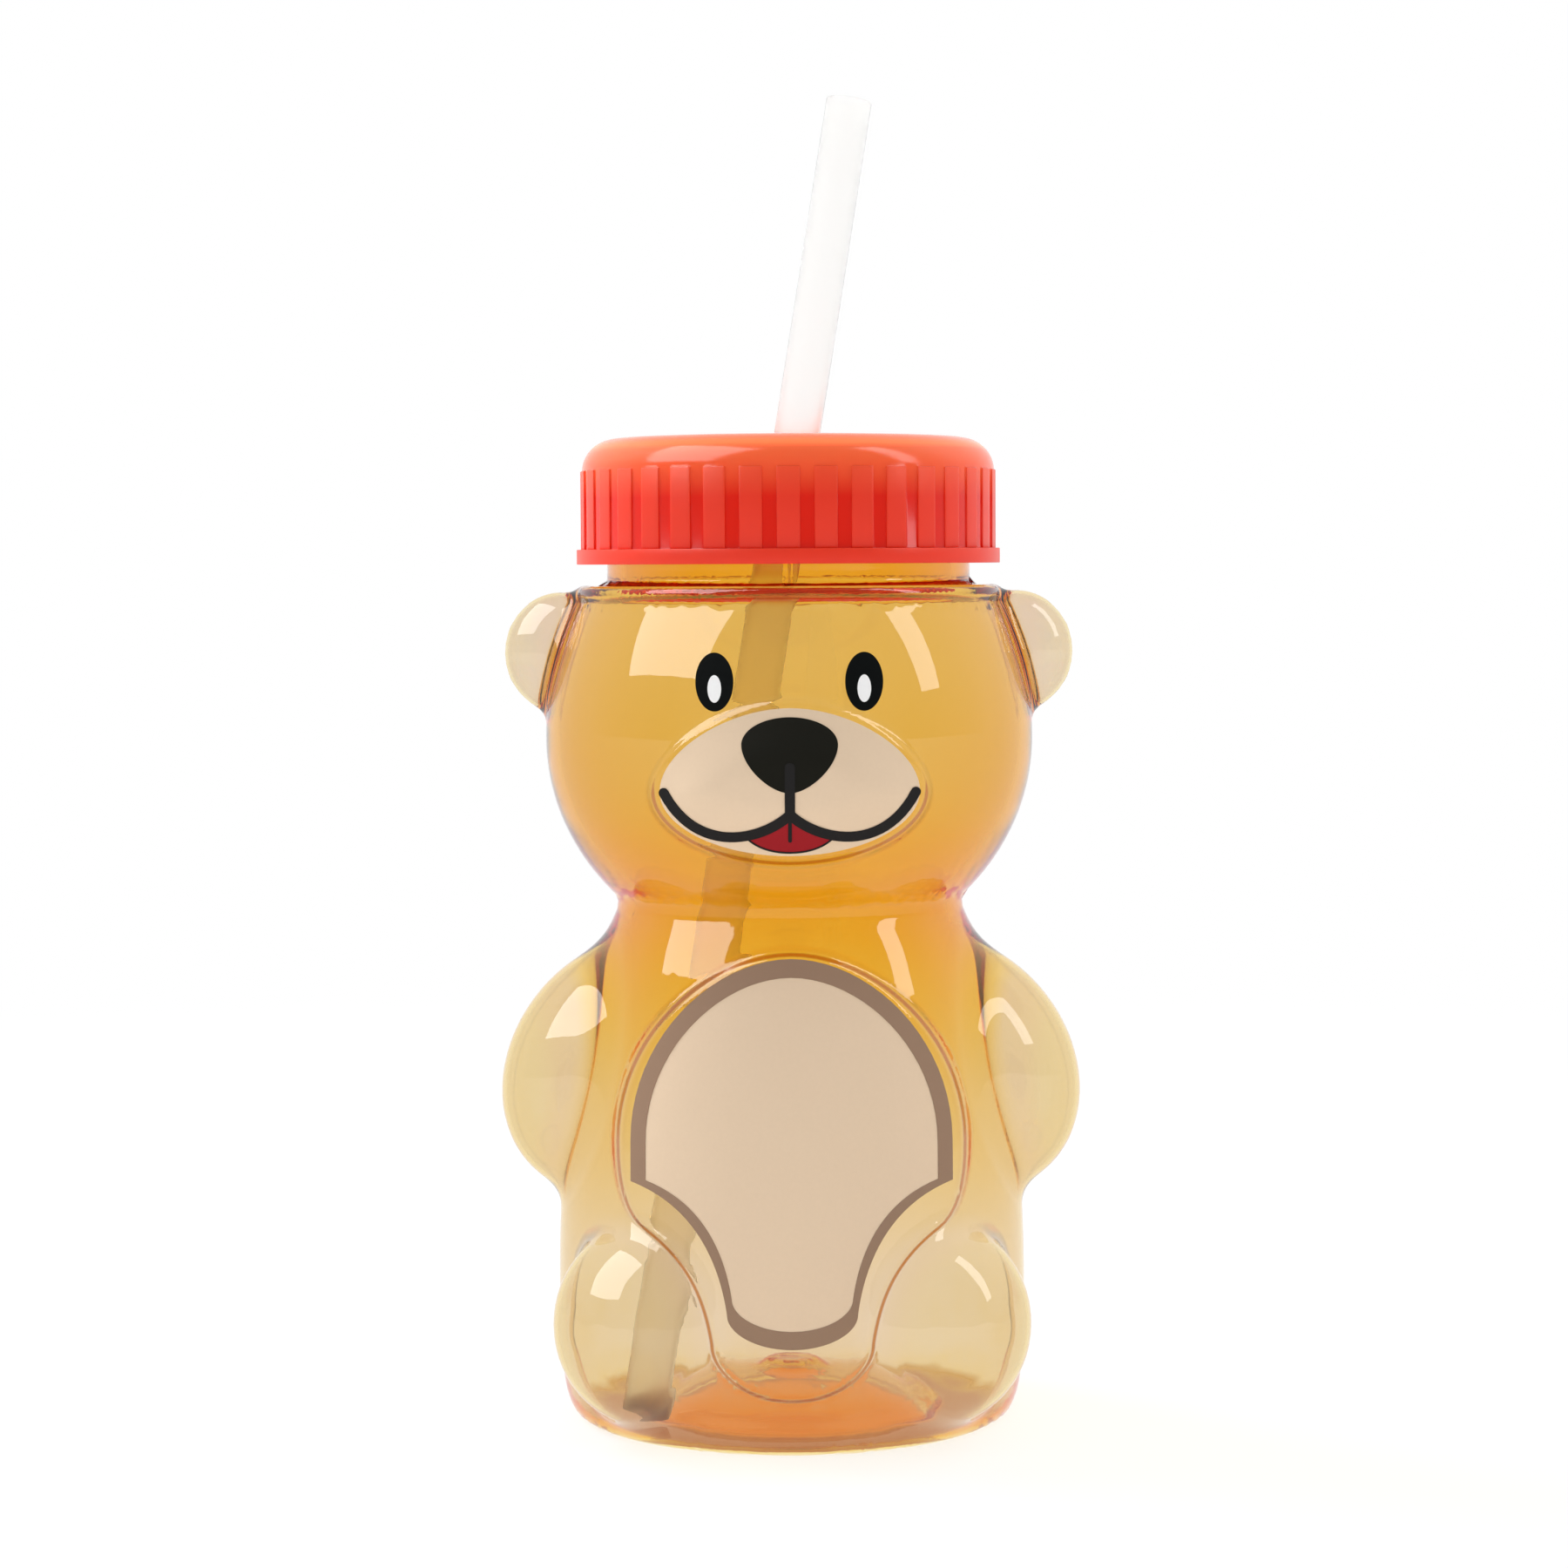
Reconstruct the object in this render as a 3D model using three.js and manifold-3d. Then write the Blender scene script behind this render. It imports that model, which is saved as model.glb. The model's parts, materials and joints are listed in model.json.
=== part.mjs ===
// Bear-shaped water bottle: a blow-moulded shell, a screw lid with its gasket, a straw and printed markings.
// Millimetres, +Z up. The bear faces -Y and stands on Z = 0. Left and right are as seen from the front.

import * as THREE from 'three';
import { mergeVertices } from 'three/addons/utils/BufferGeometryUtils.js';
import Module from 'manifold-3d';

// Clearances
const seatGap = 0.3; // between a piece and what it sits on
const inkGap = 0.25; // between two inks that lie side by side
const inkThickness = 0.25;

// Wall of the shell
const shellWall = 1.4;
const neckWall = 1.8;

// Base: a pushed-up middle with a small nub, and a flat ring to stand on
const nubRadius = 3;
const nubHeight = 1;
const pushUpHeight = 3;
const pushUpSlope = 2;
const standInnerRadius = 22.5;
const standOuterRadius = 32;

// Torso
const hipRadius = 36.5;
const hipHeight = 21.5;
const hipRise = 24; // how far the side stays nearly upright above the hips
const heelRadius = 35.8;
const heelRise = 8;
const breastRadius = 32.5;
const breastDrop = 11; // below the top of the torso
const waistRadius = 26.9;
const waistHeight = 80.2;
const creaseFlare = 0.4;
const creaseRise = 1.5;

// Head, a lower and an upper half of different heights on one widest circle
const headRadius = 37.9;
const headLowerHeight = 35;
const headUpperHeight = 41.5;
const shoulderRadius = 32.8;
const shoulderRise = 2.9;
const shoulderRound = 2.3;

// Ears
const earProud = 6.4; // beyond the widest circle of the head
const earHalfWidth = 8.9;
const earHalfDepth = 5.5;
const earHalfHeight = 9.4;
const earRise = 13.3; // above the widest circle of the head

// Arms
const armProud = 8.7; // beyond the hips
const armHalfWidth = 15.8;
const armHalfDepth = 15.5;
const armHalfHeight = 22.5;
const armDrop = 28.2; // below the waist
const armForward = 2;
const armTiltDegrees = 8;

// Feet
const footSpread = 21.2;
const footHalfWidth = 15;
const footHalfDepth = 16.5;
const footHalfHeight = 15.8;
const footForward = 21;
const footLift = 1.2; // between the ground and the underside of the foot

// Muzzle
const muzzleHalfWidth = 20.3;
const muzzleHalfDepth = 11;
const muzzleHalfHeight = 12.5;
const muzzleProud = 3.1; // in front of the widest circle of the head
const muzzleDrop = 5.5; // below the widest circle of the head

// Raised tummy panel
const panelHalfWidth = 26.2;
const panelMiddle = 46.2;
const panelTopDrop = 5.4; // below the waist
const panelCornerHalfWidth = 18.4;
const panelCornerDrop = 14.3; // below its middle
const panelTailHalfWidth = 11.5;
const panelTailHeight = 17.3;
const panelBottom = 9;
const cornerDip = 4; // bend of a bib outline below its corner
const cornerLift = 3; // bend of a bib outline above its corner
const tummyTopRadius = 30.5;
const tummyBottomRadius = 36.9;
const tummyBulgeRadius = 37.3;
const tummyBreastRadius = 36.6;

// Tummy print
const borderHalfWidth = 23.8;
const borderMiddle = 46.6;
const borderTopDrop = 6; // below the waist
const borderCornerDrop = 5.1; // below its middle
const borderTailHalfWidth = 9.8;
const borderTailHeight = 22.6;
const borderBottom = 16.9;
const borderSideWidth = 2.3;
const borderEndWidth = 2.7;
const borderTailWidth = 1.5;

// Face print, heights counted from the widest circle of the head
const eyeSpread = 11;
const eyeRise = 9.7;
const eyeHalfWidth = 2.8;
const eyeHalfHeight = 4.3;
const glintHalfWidth = 1;
const glintHalfHeight = 2;
const glintDrop = 1; // below the middle of the eye
const patchHalfWidth = 19.2;
const patchTop = 5.9;
const patchMiddle = -6.6;
const patchBottom = -16;
const patchCrown = 0.48; // fullness of its upper edge
const noseHalfWidth = 7.05;
const noseTop = 4.6;
const noseMiddle = 0.6;
const noseBottom = -6.4;
const noseChin = 0.42; // fullness of its lower edge
const mouthStroke = 1.5;
const mouthTop = -2.7;
const mouthMeet = -9.6;
const mouthLow = -13.2;
const mouthLowSpread = 9.6;
const mouthEnd = -6.7;
const mouthEndSpread = 17.6;
const tongueHalfWidth = 6.6;
const tongueBottom = -15.5;
const tongueCorner = -12.6;
const tongueCrown = 0.3; // fullness of its upper edge

// Neck and its thread
const neckRadius = 28.2;
const neckLength = 18.5;
const threadPitch = 4.5;
const threadTurns = 1.5;
const threadMargin = 2.8; // from the lower edge of the lid to its ridge
const ridgeRadius = 1.1;
const ridgeSink = 0.9; // of the ridge's round section into its wall

// Lid
const lidHeight = 19.4;
const lidTopWall = 2;
const lidSideWall = 1.8;
const threadRunout = 0.7; // between a ridge and the wall that faces it
const lidRound = 4.5;
const bandHeight = 2.3;
const bandProud = 0.9;
const ribCount = 36;
const ribWidth = 3.05;
const ribProud = 0.6;
const ribTopDrop = 5; // below the lid's top

// Gasket
const gasketThickness = 1.6;
const gasketWidth = 3.3;

// Straw
const strawRadius = 3.55;
const strawWall = 0.6;
const strawAboveLid = 52.6;
const strawTurnDegrees = 32.5; // of its lower end, from straight left towards the front
const strawOffset = 1.2; // to the right of the lid's middle, where it leans on the hole's edge

// Number of flat facets on the round forms
const outerFacets = { sides: 36, lobeSides: 14, lobeRings: 9 };
const innerFacets = { sides: 28, lobeSides: 12, lobeRings: 8 };
const lidSides = 48;
const strawSides = 16;
const ridgeStepsPerTurn = 24;
const ridgeQuarters = 3;
const profileSteps = 5;
const roundSteps = 3;
const curveSteps = 6;

// Fullness of a curve's handles that makes it an ellipse
const elliptical = 0.55;

// Places worked out from the sizes above
const crease = waistRadius + creaseFlare;
const headCentre = waistHeight + creaseRise + headLowerHeight * Math.sin(Math.acos(crease / headRadius));
const shoulderAngle = Math.acos(shoulderRadius / headRadius);
const shoulderEdge = headCentre + headUpperHeight * Math.sin(shoulderAngle);
const shoulderHeight = shoulderEdge + shoulderRise;
const rimHeight = shoulderHeight + neckLength;
const neckBore = neckRadius - neckWall;
const gasketBottom = rimHeight + seatGap;
const lidUnderside = gasketBottom + gasketThickness + seatGap;
const lidTop = lidUnderside + lidTopWall;
const lidBottom = lidTop - lidHeight;
const neckRidgeRadius = neckRadius + ridgeRadius - ridgeSink;
const lidInnerRadius = neckRidgeRadius + ridgeRadius + threadRunout;
const lidRidgeRadius = neckRadius + threadRunout + ridgeRadius;
const lidThreadStart = lidBottom + threadMargin;
const neckThreadStart = lidThreadStart + threadPitch / 2;
const lidWallRadius = lidInnerRadius + lidSideWall;
const strawGate = new THREE.Vector3(strawOffset, 0, lidTop - lidTopWall / 2);
const strawFootRadius = (standInnerRadius + standOuterRadius) / 2;
const strawTurn = Math.PI + THREE.MathUtils.degToRad(strawTurnDegrees);
const strawAim = new THREE.Vector3(
  strawFootRadius * Math.cos(strawTurn),
  strawFootRadius * Math.sin(strawTurn),
  shellWall + seatGap,
);
const strawDirection = strawGate.clone().sub(strawAim).normalize();
const strawTilt = Math.acos(strawDirection.z);
const holeSlack = (Math.tan(strawTilt) * lidTopWall) / 2 + seatGap;
const holeRadius = strawOffset + strawRadius / Math.cos(strawTilt) + holeSlack;
const frontReach = headRadius + muzzleProud + seatGap + inkThickness;
const axisSetback = (frontReach - headRadius) / 2; // brings the middle of the depth over the origin
const prismDepth = frontReach + muzzleHalfDepth;

const wasm = await Module();
wasm.setup();

// A closed geometry as a solid that can be joined and cut.
function toSolid(geometry) {
  const bare = new THREE.BufferGeometry();
  bare.setAttribute('position', geometry.getAttribute('position'));
  bare.setIndex(geometry.index);
  const merged = mergeVertices(bare);
  const corners = merged.index.array;
  const triangles = [];
  for (let i = 0; i < corners.length; i += 3) {
    const [a, b, c] = [corners[i], corners[i + 1], corners[i + 2]];
    if (a !== b && b !== c && c !== a) triangles.push(a, b, c);
  }
  const vertProperties = merged.getAttribute('position').array;
  const triVerts = new Uint32Array(triangles);
  return new wasm.Manifold(new wasm.Mesh({ numProp: 3, vertProperties, triVerts }));
}

// The finished solid as a geometry again.
function toGeometry(solid) {
  const mesh = solid.getMesh();
  const geometry = new THREE.BufferGeometry();
  geometry.setAttribute('position', new THREE.BufferAttribute(mesh.vertProperties, 3));
  geometry.setIndex(new THREE.BufferAttribute(mesh.triVerts, 1));
  geometry.computeVertexNormals();
  return geometry;
}

function at(x, y) {
  return new THREE.Vector2(x, y);
}

// A line moved outwards by grow. Outwards is to the right of the way the line runs.
function offsetLine(points, grow, closed = false) {
  const last = points.length - 1;
  return points.map((point, i) => {
    const before = i > 0 ? points[i - 1] : points[closed ? last : 0];
    const after = i < last ? points[i + 1] : points[closed ? 0 : last];
    const along = after.clone().sub(before).normalize();
    return at(point.x + along.y * grow, point.y - along.x * grow);
  });
}

// A profile of radius and height turned about the Z axis.
function turned(profile, sides) {
  return new THREE.LatheGeometry(profile, sides).rotateX(Math.PI / 2);
}

// A whole outline from its right half, which runs from the bottom point up to the top point.
function mirrored(half) {
  const right = half.getPoints(curveSteps);
  const left = right.slice(1, -1).reverse();
  return [...right, ...left.map((point) => at(-point.x, point.y))];
}

// The right half of an oval.
function halfOval(halfWidth, bottom, middle, top, lowFullness = elliptical, highFullness = elliptical) {
  const lowHandle = middle - (middle - bottom) * lowFullness;
  const highHandle = middle + (top - middle) * highFullness;
  const path = new THREE.Path();
  path.moveTo(0, bottom);
  path.bezierCurveTo(halfWidth * lowFullness, bottom, halfWidth, lowHandle, halfWidth, middle);
  path.bezierCurveTo(halfWidth, highHandle, halfWidth * highFullness, top, 0, top);
  return path;
}

// The right half of a bib: a round top, corners, and a narrow round tail that hangs between the feet.
function halfBib(size) {
  const { halfWidth, middle, top, cornerHalfWidth, cornerHeight, tailHalfWidth, tailHeight, bottom } = size;
  const neckHeight = (cornerHeight + tailHeight) / 2;
  const neckHalfWidth = tailHalfWidth + (cornerHalfWidth - tailHalfWidth) / 3;
  const cornerRoot = cornerHeight - cornerDip;
  const path = new THREE.Path();
  path.moveTo(0, bottom);
  path.bezierCurveTo(tailHalfWidth * elliptical, bottom, tailHalfWidth, bottom, tailHalfWidth, tailHeight);
  path.bezierCurveTo(tailHalfWidth, neckHeight, neckHalfWidth, cornerRoot, cornerHalfWidth, cornerHeight);
  path.quadraticCurveTo(halfWidth, cornerHeight + cornerLift, halfWidth, middle);
  const shoulder = middle + (top - middle) * elliptical;
  path.bezierCurveTo(halfWidth, shoulder, halfWidth * elliptical, top, 0, top);
  return path;
}

// The half-round end of a stroke, from one of its sides round to the other.
function roundEnd(from, to) {
  const middle = from.clone().add(to).divideScalar(2);
  return [1, 2, 3].map((step) => from.clone().rotateAround(middle, (step * Math.PI) / 4));
}

// A stroke of even width along a line of points.
function strokeOutline(points, width) {
  const right = offsetLine(points, width / 2);
  const left = offsetLine(points, -width / 2).reverse();
  const end = right.length - 1;
  return [...right, ...roundEnd(right[end], left[0]), ...left, ...roundEnd(left[end], right[0])];
}

// An outline drawn on the XZ plane and pushed forwards from the axis, past the front of the bear.
function frontPrism(outline) {
  const shape = new THREE.Shape(outline);
  const settings = { depth: prismDepth, bevelEnabled: false };
  return toSolid(new THREE.ExtrudeGeometry(shape, settings).rotateX(Math.PI / 2));
}

// An egg-shaped lobe, grown by the same amount all round.
function lobe(centre, halfSizes, grow, facets, tilt = 0) {
  const ball = new THREE.SphereGeometry(1, facets.lobeSides, facets.lobeRings).rotateX(Math.PI / 2);
  const [x, y, z] = halfSizes;
  ball.scale(x + grow, y + grow, z + grow);
  ball.rotateY(tilt);
  ball.translate(...centre);
  return toSolid(ball);
}

// Side profile of the torso and head, from the middle of the base up to the middle of the shoulder.
function bodyProfile() {
  const heel = new THREE.CubicBezierCurve(
    at(standOuterRadius, 0),
    at(heelRadius, 0),
    at(hipRadius, heelRise),
    at(hipRadius, hipHeight),
  );
  const torsoTop = waistHeight - creaseRise;
  const torso = new THREE.CubicBezierCurve(
    at(hipRadius, hipHeight),
    at(hipRadius, hipHeight + hipRise),
    at(breastRadius, torsoTop - breastDrop),
    at(crease, torsoTop),
  );
  const headStart = -Math.acos(crease / headRadius);
  const lower = new THREE.EllipseCurve(0, headCentre, headRadius, headLowerHeight, headStart, 0);
  const upper = new THREE.EllipseCurve(0, headCentre, headRadius, headUpperHeight, 0, shoulderAngle);
  const shoulder = new THREE.QuadraticBezierCurve(
    at(shoulderRadius, shoulderHeight - shoulderRound),
    at(shoulderRadius, shoulderHeight),
    at(shoulderRadius - shoulderRound, shoulderHeight),
  );
  return [
    at(0, pushUpHeight + nubHeight),
    at(nubRadius, pushUpHeight + nubHeight),
    at(nubRadius + nubHeight, pushUpHeight),
    at(standInnerRadius - pushUpSlope, pushUpHeight),
    at(standInnerRadius, 0),
    ...heel.getPoints(profileSteps),
    ...torso.getPoints(profileSteps).slice(1),
    at(waistRadius, waistHeight),
    ...lower.getPoints(profileSteps),
    ...upper.getPoints(roundSteps).slice(1),
    ...shoulder.getPoints(roundSteps),
    at(0, shoulderHeight),
  ];
}

const panelOutline = mirrored(
  halfBib({
    halfWidth: panelHalfWidth,
    middle: panelMiddle,
    top: waistHeight - panelTopDrop,
    cornerHalfWidth: panelCornerHalfWidth,
    cornerHeight: panelMiddle - panelCornerDrop,
    tailHalfWidth: panelTailHalfWidth,
    tailHeight: panelTailHeight,
    bottom: panelBottom,
  }),
);

// The raised tummy panel: a slightly fuller round body, kept only inside the panel's outline.
function tummyPanel(grow, facets) {
  const top = waistHeight - panelTopDrop;
  const bulge = new THREE.CubicBezierCurve(
    at(tummyBottomRadius, panelBottom),
    at(tummyBulgeRadius, panelMiddle - (panelMiddle - panelBottom) / 3),
    at(tummyBreastRadius, panelMiddle + (top - panelMiddle) / 3),
    at(tummyTopRadius, top),
  );
  const side = offsetLine(bulge.getPoints(curveSteps), grow);
  const below = at(side[0].x, side[0].y - shellWall);
  const above = at(side[curveSteps].x, side[curveSteps].y + shellWall);
  const profile = [at(0, below.y), below, ...side, above, at(0, above.y)];
  return toSolid(turned(profile, facets.sides)).intersect(frontPrism(offsetLine(panelOutline, grow, true)));
}

// The whole bear without its neck, grown by the same amount all over.
function bearForm(grow, facets) {
  const earSizes = [earHalfWidth, earHalfDepth, earHalfHeight];
  const armSizes = [armHalfWidth, armHalfDepth, armHalfHeight];
  const footSizes = [footHalfWidth, footHalfDepth, footHalfHeight];
  const muzzleSizes = [muzzleHalfWidth, muzzleHalfDepth, muzzleHalfHeight];
  const muzzleCentre = [0, muzzleHalfDepth - headRadius - muzzleProud, headCentre - muzzleDrop];
  let form = toSolid(turned(offsetLine(bodyProfile(), grow), facets.sides));
  form = form.add(lobe(muzzleCentre, muzzleSizes, grow, facets));
  for (const side of [-1, 1]) {
    const ear = [side * (headRadius + earProud - earHalfWidth), 0, headCentre + earRise];
    const arm = [side * (hipRadius + armProud - armHalfWidth), -armForward, waistHeight - armDrop];
    const foot = [side * footSpread, -footForward, footLift + footHalfHeight];
    const armTilt = -side * THREE.MathUtils.degToRad(armTiltDegrees);
    form = form.add(lobe(ear, earSizes, grow, facets));
    form = form.add(lobe(arm, armSizes, grow, facets, armTilt));
    form = form.add(lobe(foot, footSizes, grow, facets));
  }
  return form.add(tummyPanel(grow, facets));
}

// A right-handed screw line about the Z axis.
class ScrewLine extends THREE.Curve {
  constructor(radius, start) {
    super();
    this.radius = radius;
    this.start = start;
  }

  getPoint(t, target = new THREE.Vector3()) {
    const angle = 2 * Math.PI * threadTurns * t;
    const height = this.start + threadPitch * threadTurns * t;
    return target.set(this.radius * Math.cos(angle), this.radius * Math.sin(angle), height);
  }
}

// A round thread ridge that follows a screw line.
function threadRidge(radius, start) {
  const section = new THREE.Shape();
  section.absarc(0, 0, ridgeRadius, 0, 2 * Math.PI);
  const settings = {
    steps: Math.round(ridgeStepsPerTurn * threadTurns),
    curveSegments: ridgeQuarters,
    extrudePath: new ScrewLine(radius, start),
  };
  return toSolid(new THREE.ExtrudeGeometry(section, settings));
}

function bottleShell() {
  const neckRoot = shoulderHeight - shellWall;
  const neck = [at(0, neckRoot), at(neckRadius, neckRoot), at(neckRadius, rimHeight), at(0, rimHeight)];
  const boreEnds = [neckRoot - shellWall, rimHeight + shellWall];
  const bore = [at(0, boreEnds[0]), at(neckBore, boreEnds[0]), at(neckBore, boreEnds[1]), at(0, boreEnds[1])];
  return bearForm(0, outerFacets)
    .add(toSolid(turned(neck, outerFacets.sides)))
    .add(threadRidge(neckRidgeRadius, neckThreadStart))
    .subtract(bearForm(-shellWall, innerFacets))
    .subtract(toSolid(turned(bore, innerFacets.sides)));
}

function screwLid() {
  const bandRadius = lidWallRadius + bandProud;
  const bandTop = lidBottom + bandHeight;
  const roundCentre = [lidWallRadius - lidRound, lidTop - lidRound];
  const roundTop = new THREE.EllipseCurve(...roundCentre, lidRound, lidRound, 0, Math.PI / 2);
  const profile = [
    at(lidInnerRadius, lidBottom),
    at(bandRadius, lidBottom),
    at(bandRadius, bandTop),
    at(lidWallRadius, bandTop),
    ...roundTop.getPoints(roundSteps),
    at(holeRadius, lidTop),
    at(holeRadius, lidUnderside),
    at(lidInnerRadius, lidUnderside),
    at(lidInnerRadius, lidBottom),
  ];
  let lid = toSolid(turned(profile, lidSides));
  const ribHeight = lidTop - ribTopDrop - bandTop + bandHeight / 2;
  const ribDepth = lidSideWall / 2 + ribProud;
  for (let i = 0; i < ribCount; i += 1) {
    const rib = new THREE.BoxGeometry(ribDepth, ribWidth, ribHeight);
    rib.translate(lidWallRadius + ribProud - ribDepth / 2, 0, lidTop - ribTopDrop - ribHeight / 2);
    rib.rotateZ((2 * Math.PI * i) / ribCount);
    lid = lid.add(toSolid(rib));
  }
  return lid.add(threadRidge(lidRidgeRadius, lidThreadStart));
}

function lidGasket() {
  const outer = lidInnerRadius - threadRunout;
  const inner = outer - gasketWidth;
  const top = gasketBottom + gasketThickness;
  const ring = [at(inner, gasketBottom), at(outer, gasketBottom), at(outer, top), at(inner, top)];
  return toSolid(turned([...ring, ring[0]], lidSides));
}

// The straw stands along its own Z axis here and is leaned when it is placed.
function strawTube(length) {
  const bore = strawRadius - strawWall;
  const wall = [at(bore, 0), at(strawRadius, 0), at(strawRadius, length), at(bore, length)];
  return toSolid(turned([...wall, wall[0]], strawSides));
}

const group = new THREE.Group();
group.position.y = axisSetback;

function addPiece(name, solid, look) {
  const material = new THREE.MeshStandardMaterial({ metalness: 0, transparent: 'opacity' in look, ...look });
  const mesh = new THREE.Mesh(toGeometry(solid), material);
  mesh.name = name;
  group.add(mesh);
  return mesh;
}

// Moulded pieces
addPiece('bottle_shell', bottleShell(), { color: 0xe2a63c, roughness: 0.08, opacity: 0.55 });
addPiece('screw_lid', screwLid(), { color: 0xe0381c, roughness: 0.3 });
addPiece('lid_gasket', lidGasket(), { color: 0xf1efe8, roughness: 0.6 });

// Straw: its lower end stands on the floor over the standing ring, and it leans on the edge of the lid's hole.
const strawFoot = shellWall + seatGap + strawRadius * Math.sin(strawTilt);
const strawLength = (lidTop + strawAboveLid - strawFoot) / strawDirection.z;
const straw = addPiece('straw', strawTube(strawLength), { color: 0xf4f4f1, roughness: 0.25, opacity: 0.7 });
straw.position.copy(strawGate);
straw.position.addScaledVector(strawDirection, (strawFoot - strawGate.z) / strawDirection.z);
straw.quaternion.setFromUnitVectors(new THREE.Vector3(0, 0, 1), strawDirection);

// Prints: each ink is a thin film just off the shell, and inks that meet are cut back from each other.
const inkLayer = bearForm(seatGap + inkThickness, outerFacets).subtract(bearForm(seatGap, outerFacets));

function printed(outline) {
  return inkLayer.intersect(frontPrism(outline));
}

// The room that an ink takes in another ink.
function inkCut(outline) {
  return frontPrism(offsetLine(outline, inkGap, true));
}

const borderSize = {
  halfWidth: borderHalfWidth,
  middle: borderMiddle,
  top: waistHeight - borderTopDrop,
  cornerHalfWidth: borderHalfWidth,
  cornerHeight: borderMiddle - borderCornerDrop,
  tailHalfWidth: borderTailHalfWidth,
  tailHeight: borderTailHeight,
  bottom: borderBottom,
};
const fieldSize = {
  ...borderSize,
  halfWidth: borderHalfWidth - borderSideWidth,
  top: borderSize.top - borderEndWidth,
  cornerHalfWidth: borderHalfWidth - borderSideWidth,
  tailHalfWidth: borderTailHalfWidth - borderTailWidth,
  tailHeight: borderTailHeight + borderTailWidth,
  bottom: borderBottom + borderEndWidth,
};
const borderOutline = mirrored(halfBib(borderSize));
const fieldOutline = mirrored(halfBib(fieldSize));
const tummyBorder = printed(borderOutline).subtract(inkCut(fieldOutline));
addPiece('tummy_border', tummyBorder, { color: 0x9b7f6b, roughness: 0.45 });
addPiece('tummy_field', printed(fieldOutline), { color: 0xdcc4a8, roughness: 0.45 });

const onHead = (outline) => outline.map((point) => at(point.x, point.y + headCentre));
const noseOutline = onHead(mirrored(halfOval(noseHalfWidth, noseBottom, noseMiddle, noseTop, noseChin)));
const patchHalf = halfOval(patchHalfWidth, patchBottom, patchMiddle, patchTop, elliptical, patchCrown);
const patchOutline = onHead(mirrored(patchHalf));
const tongueHalf = halfOval(tongueHalfWidth, tongueBottom, tongueCorner, mouthMeet, elliptical, tongueCrown);
const tongueOutline = onHead(mirrored(tongueHalf));

// The mouth: an upright stroke under the nose and a smile on each side of its lower end.
function mouthStrokes(width) {
  const stem = [at(0, mouthMeet), at(0, mouthTop)];
  const smile = new THREE.SplineCurve([
    at(0, mouthMeet),
    at(mouthLowSpread, mouthLow),
    at(mouthEndSpread, mouthEnd),
  ]).getPoints(2 * curveSteps);
  const lines = [stem, smile, smile.map((point) => at(-point.x, point.y)).reverse()];
  return lines.map((line) => onHead(strokeOutline(line, width)));
}

function joined(solids) {
  return solids.reduce((whole, solid) => whole.add(solid));
}

const noseCut = inkCut(noseOutline);
const mouthPrism = joined(mouthStrokes(mouthStroke).map(frontPrism)).subtract(noseCut);
const mouthCut = joined(mouthStrokes(mouthStroke + 2 * inkGap).map(frontPrism));
const tongue = printed(tongueOutline).subtract(mouthCut);
const patch = printed(patchOutline).subtract(noseCut).subtract(mouthCut).subtract(inkCut(tongueOutline));
addPiece('muzzle_patch', patch, { color: 0xdcc4a8, roughness: 0.45 });
addPiece('nose', printed(noseOutline), { color: 0x1d1d17, roughness: 0.35 });
addPiece('mouth_line', inkLayer.intersect(mouthPrism), { color: 0x242224, roughness: 0.4 });
addPiece('tongue', tongue, { color: 0x96232b, roughness: 0.4 });

for (const [sideName, side] of [['left', -1], ['right', 1]]) {
  const aside = (outline) => outline.map((point) => at(point.x + side * eyeSpread, point.y));
  const oval = (halfWidth, halfHeight, height) =>
    aside(onHead(mirrored(halfOval(halfWidth, height - halfHeight, height, height + halfHeight))));
  const eyeOutline = oval(eyeHalfWidth, eyeHalfHeight, eyeRise);
  const glintOutline = oval(glintHalfWidth, glintHalfHeight, eyeRise - glintDrop);
  const eye = printed(eyeOutline).subtract(inkCut(glintOutline));
  addPiece(`eye_${sideName}`, eye, { color: 0x0a0c0c, roughness: 0.3 });
  addPiece(`eye_glint_${sideName}`, printed(glintOutline), { color: 0xf3f3f3, roughness: 0.4 });
}

export default group;
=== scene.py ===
"""Looks of a bear-shaped water bottle: amber shell, ribbed lid, gasket, straw and printed markings.

Sizes are millimetres in the bottle's own frame, whose Z axis is the bottle's axis and whose front is -Y.
Meshes are metres in the shared frame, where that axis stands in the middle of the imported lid.
"""

from __future__ import annotations

import json
import logging
import math
from collections.abc import Callable, Iterator, Sequence
from contextlib import contextmanager
from dataclasses import dataclass, replace
from enum import Enum

import bpy
import numpy as np
from mathutils import Matrix, Vector

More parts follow.
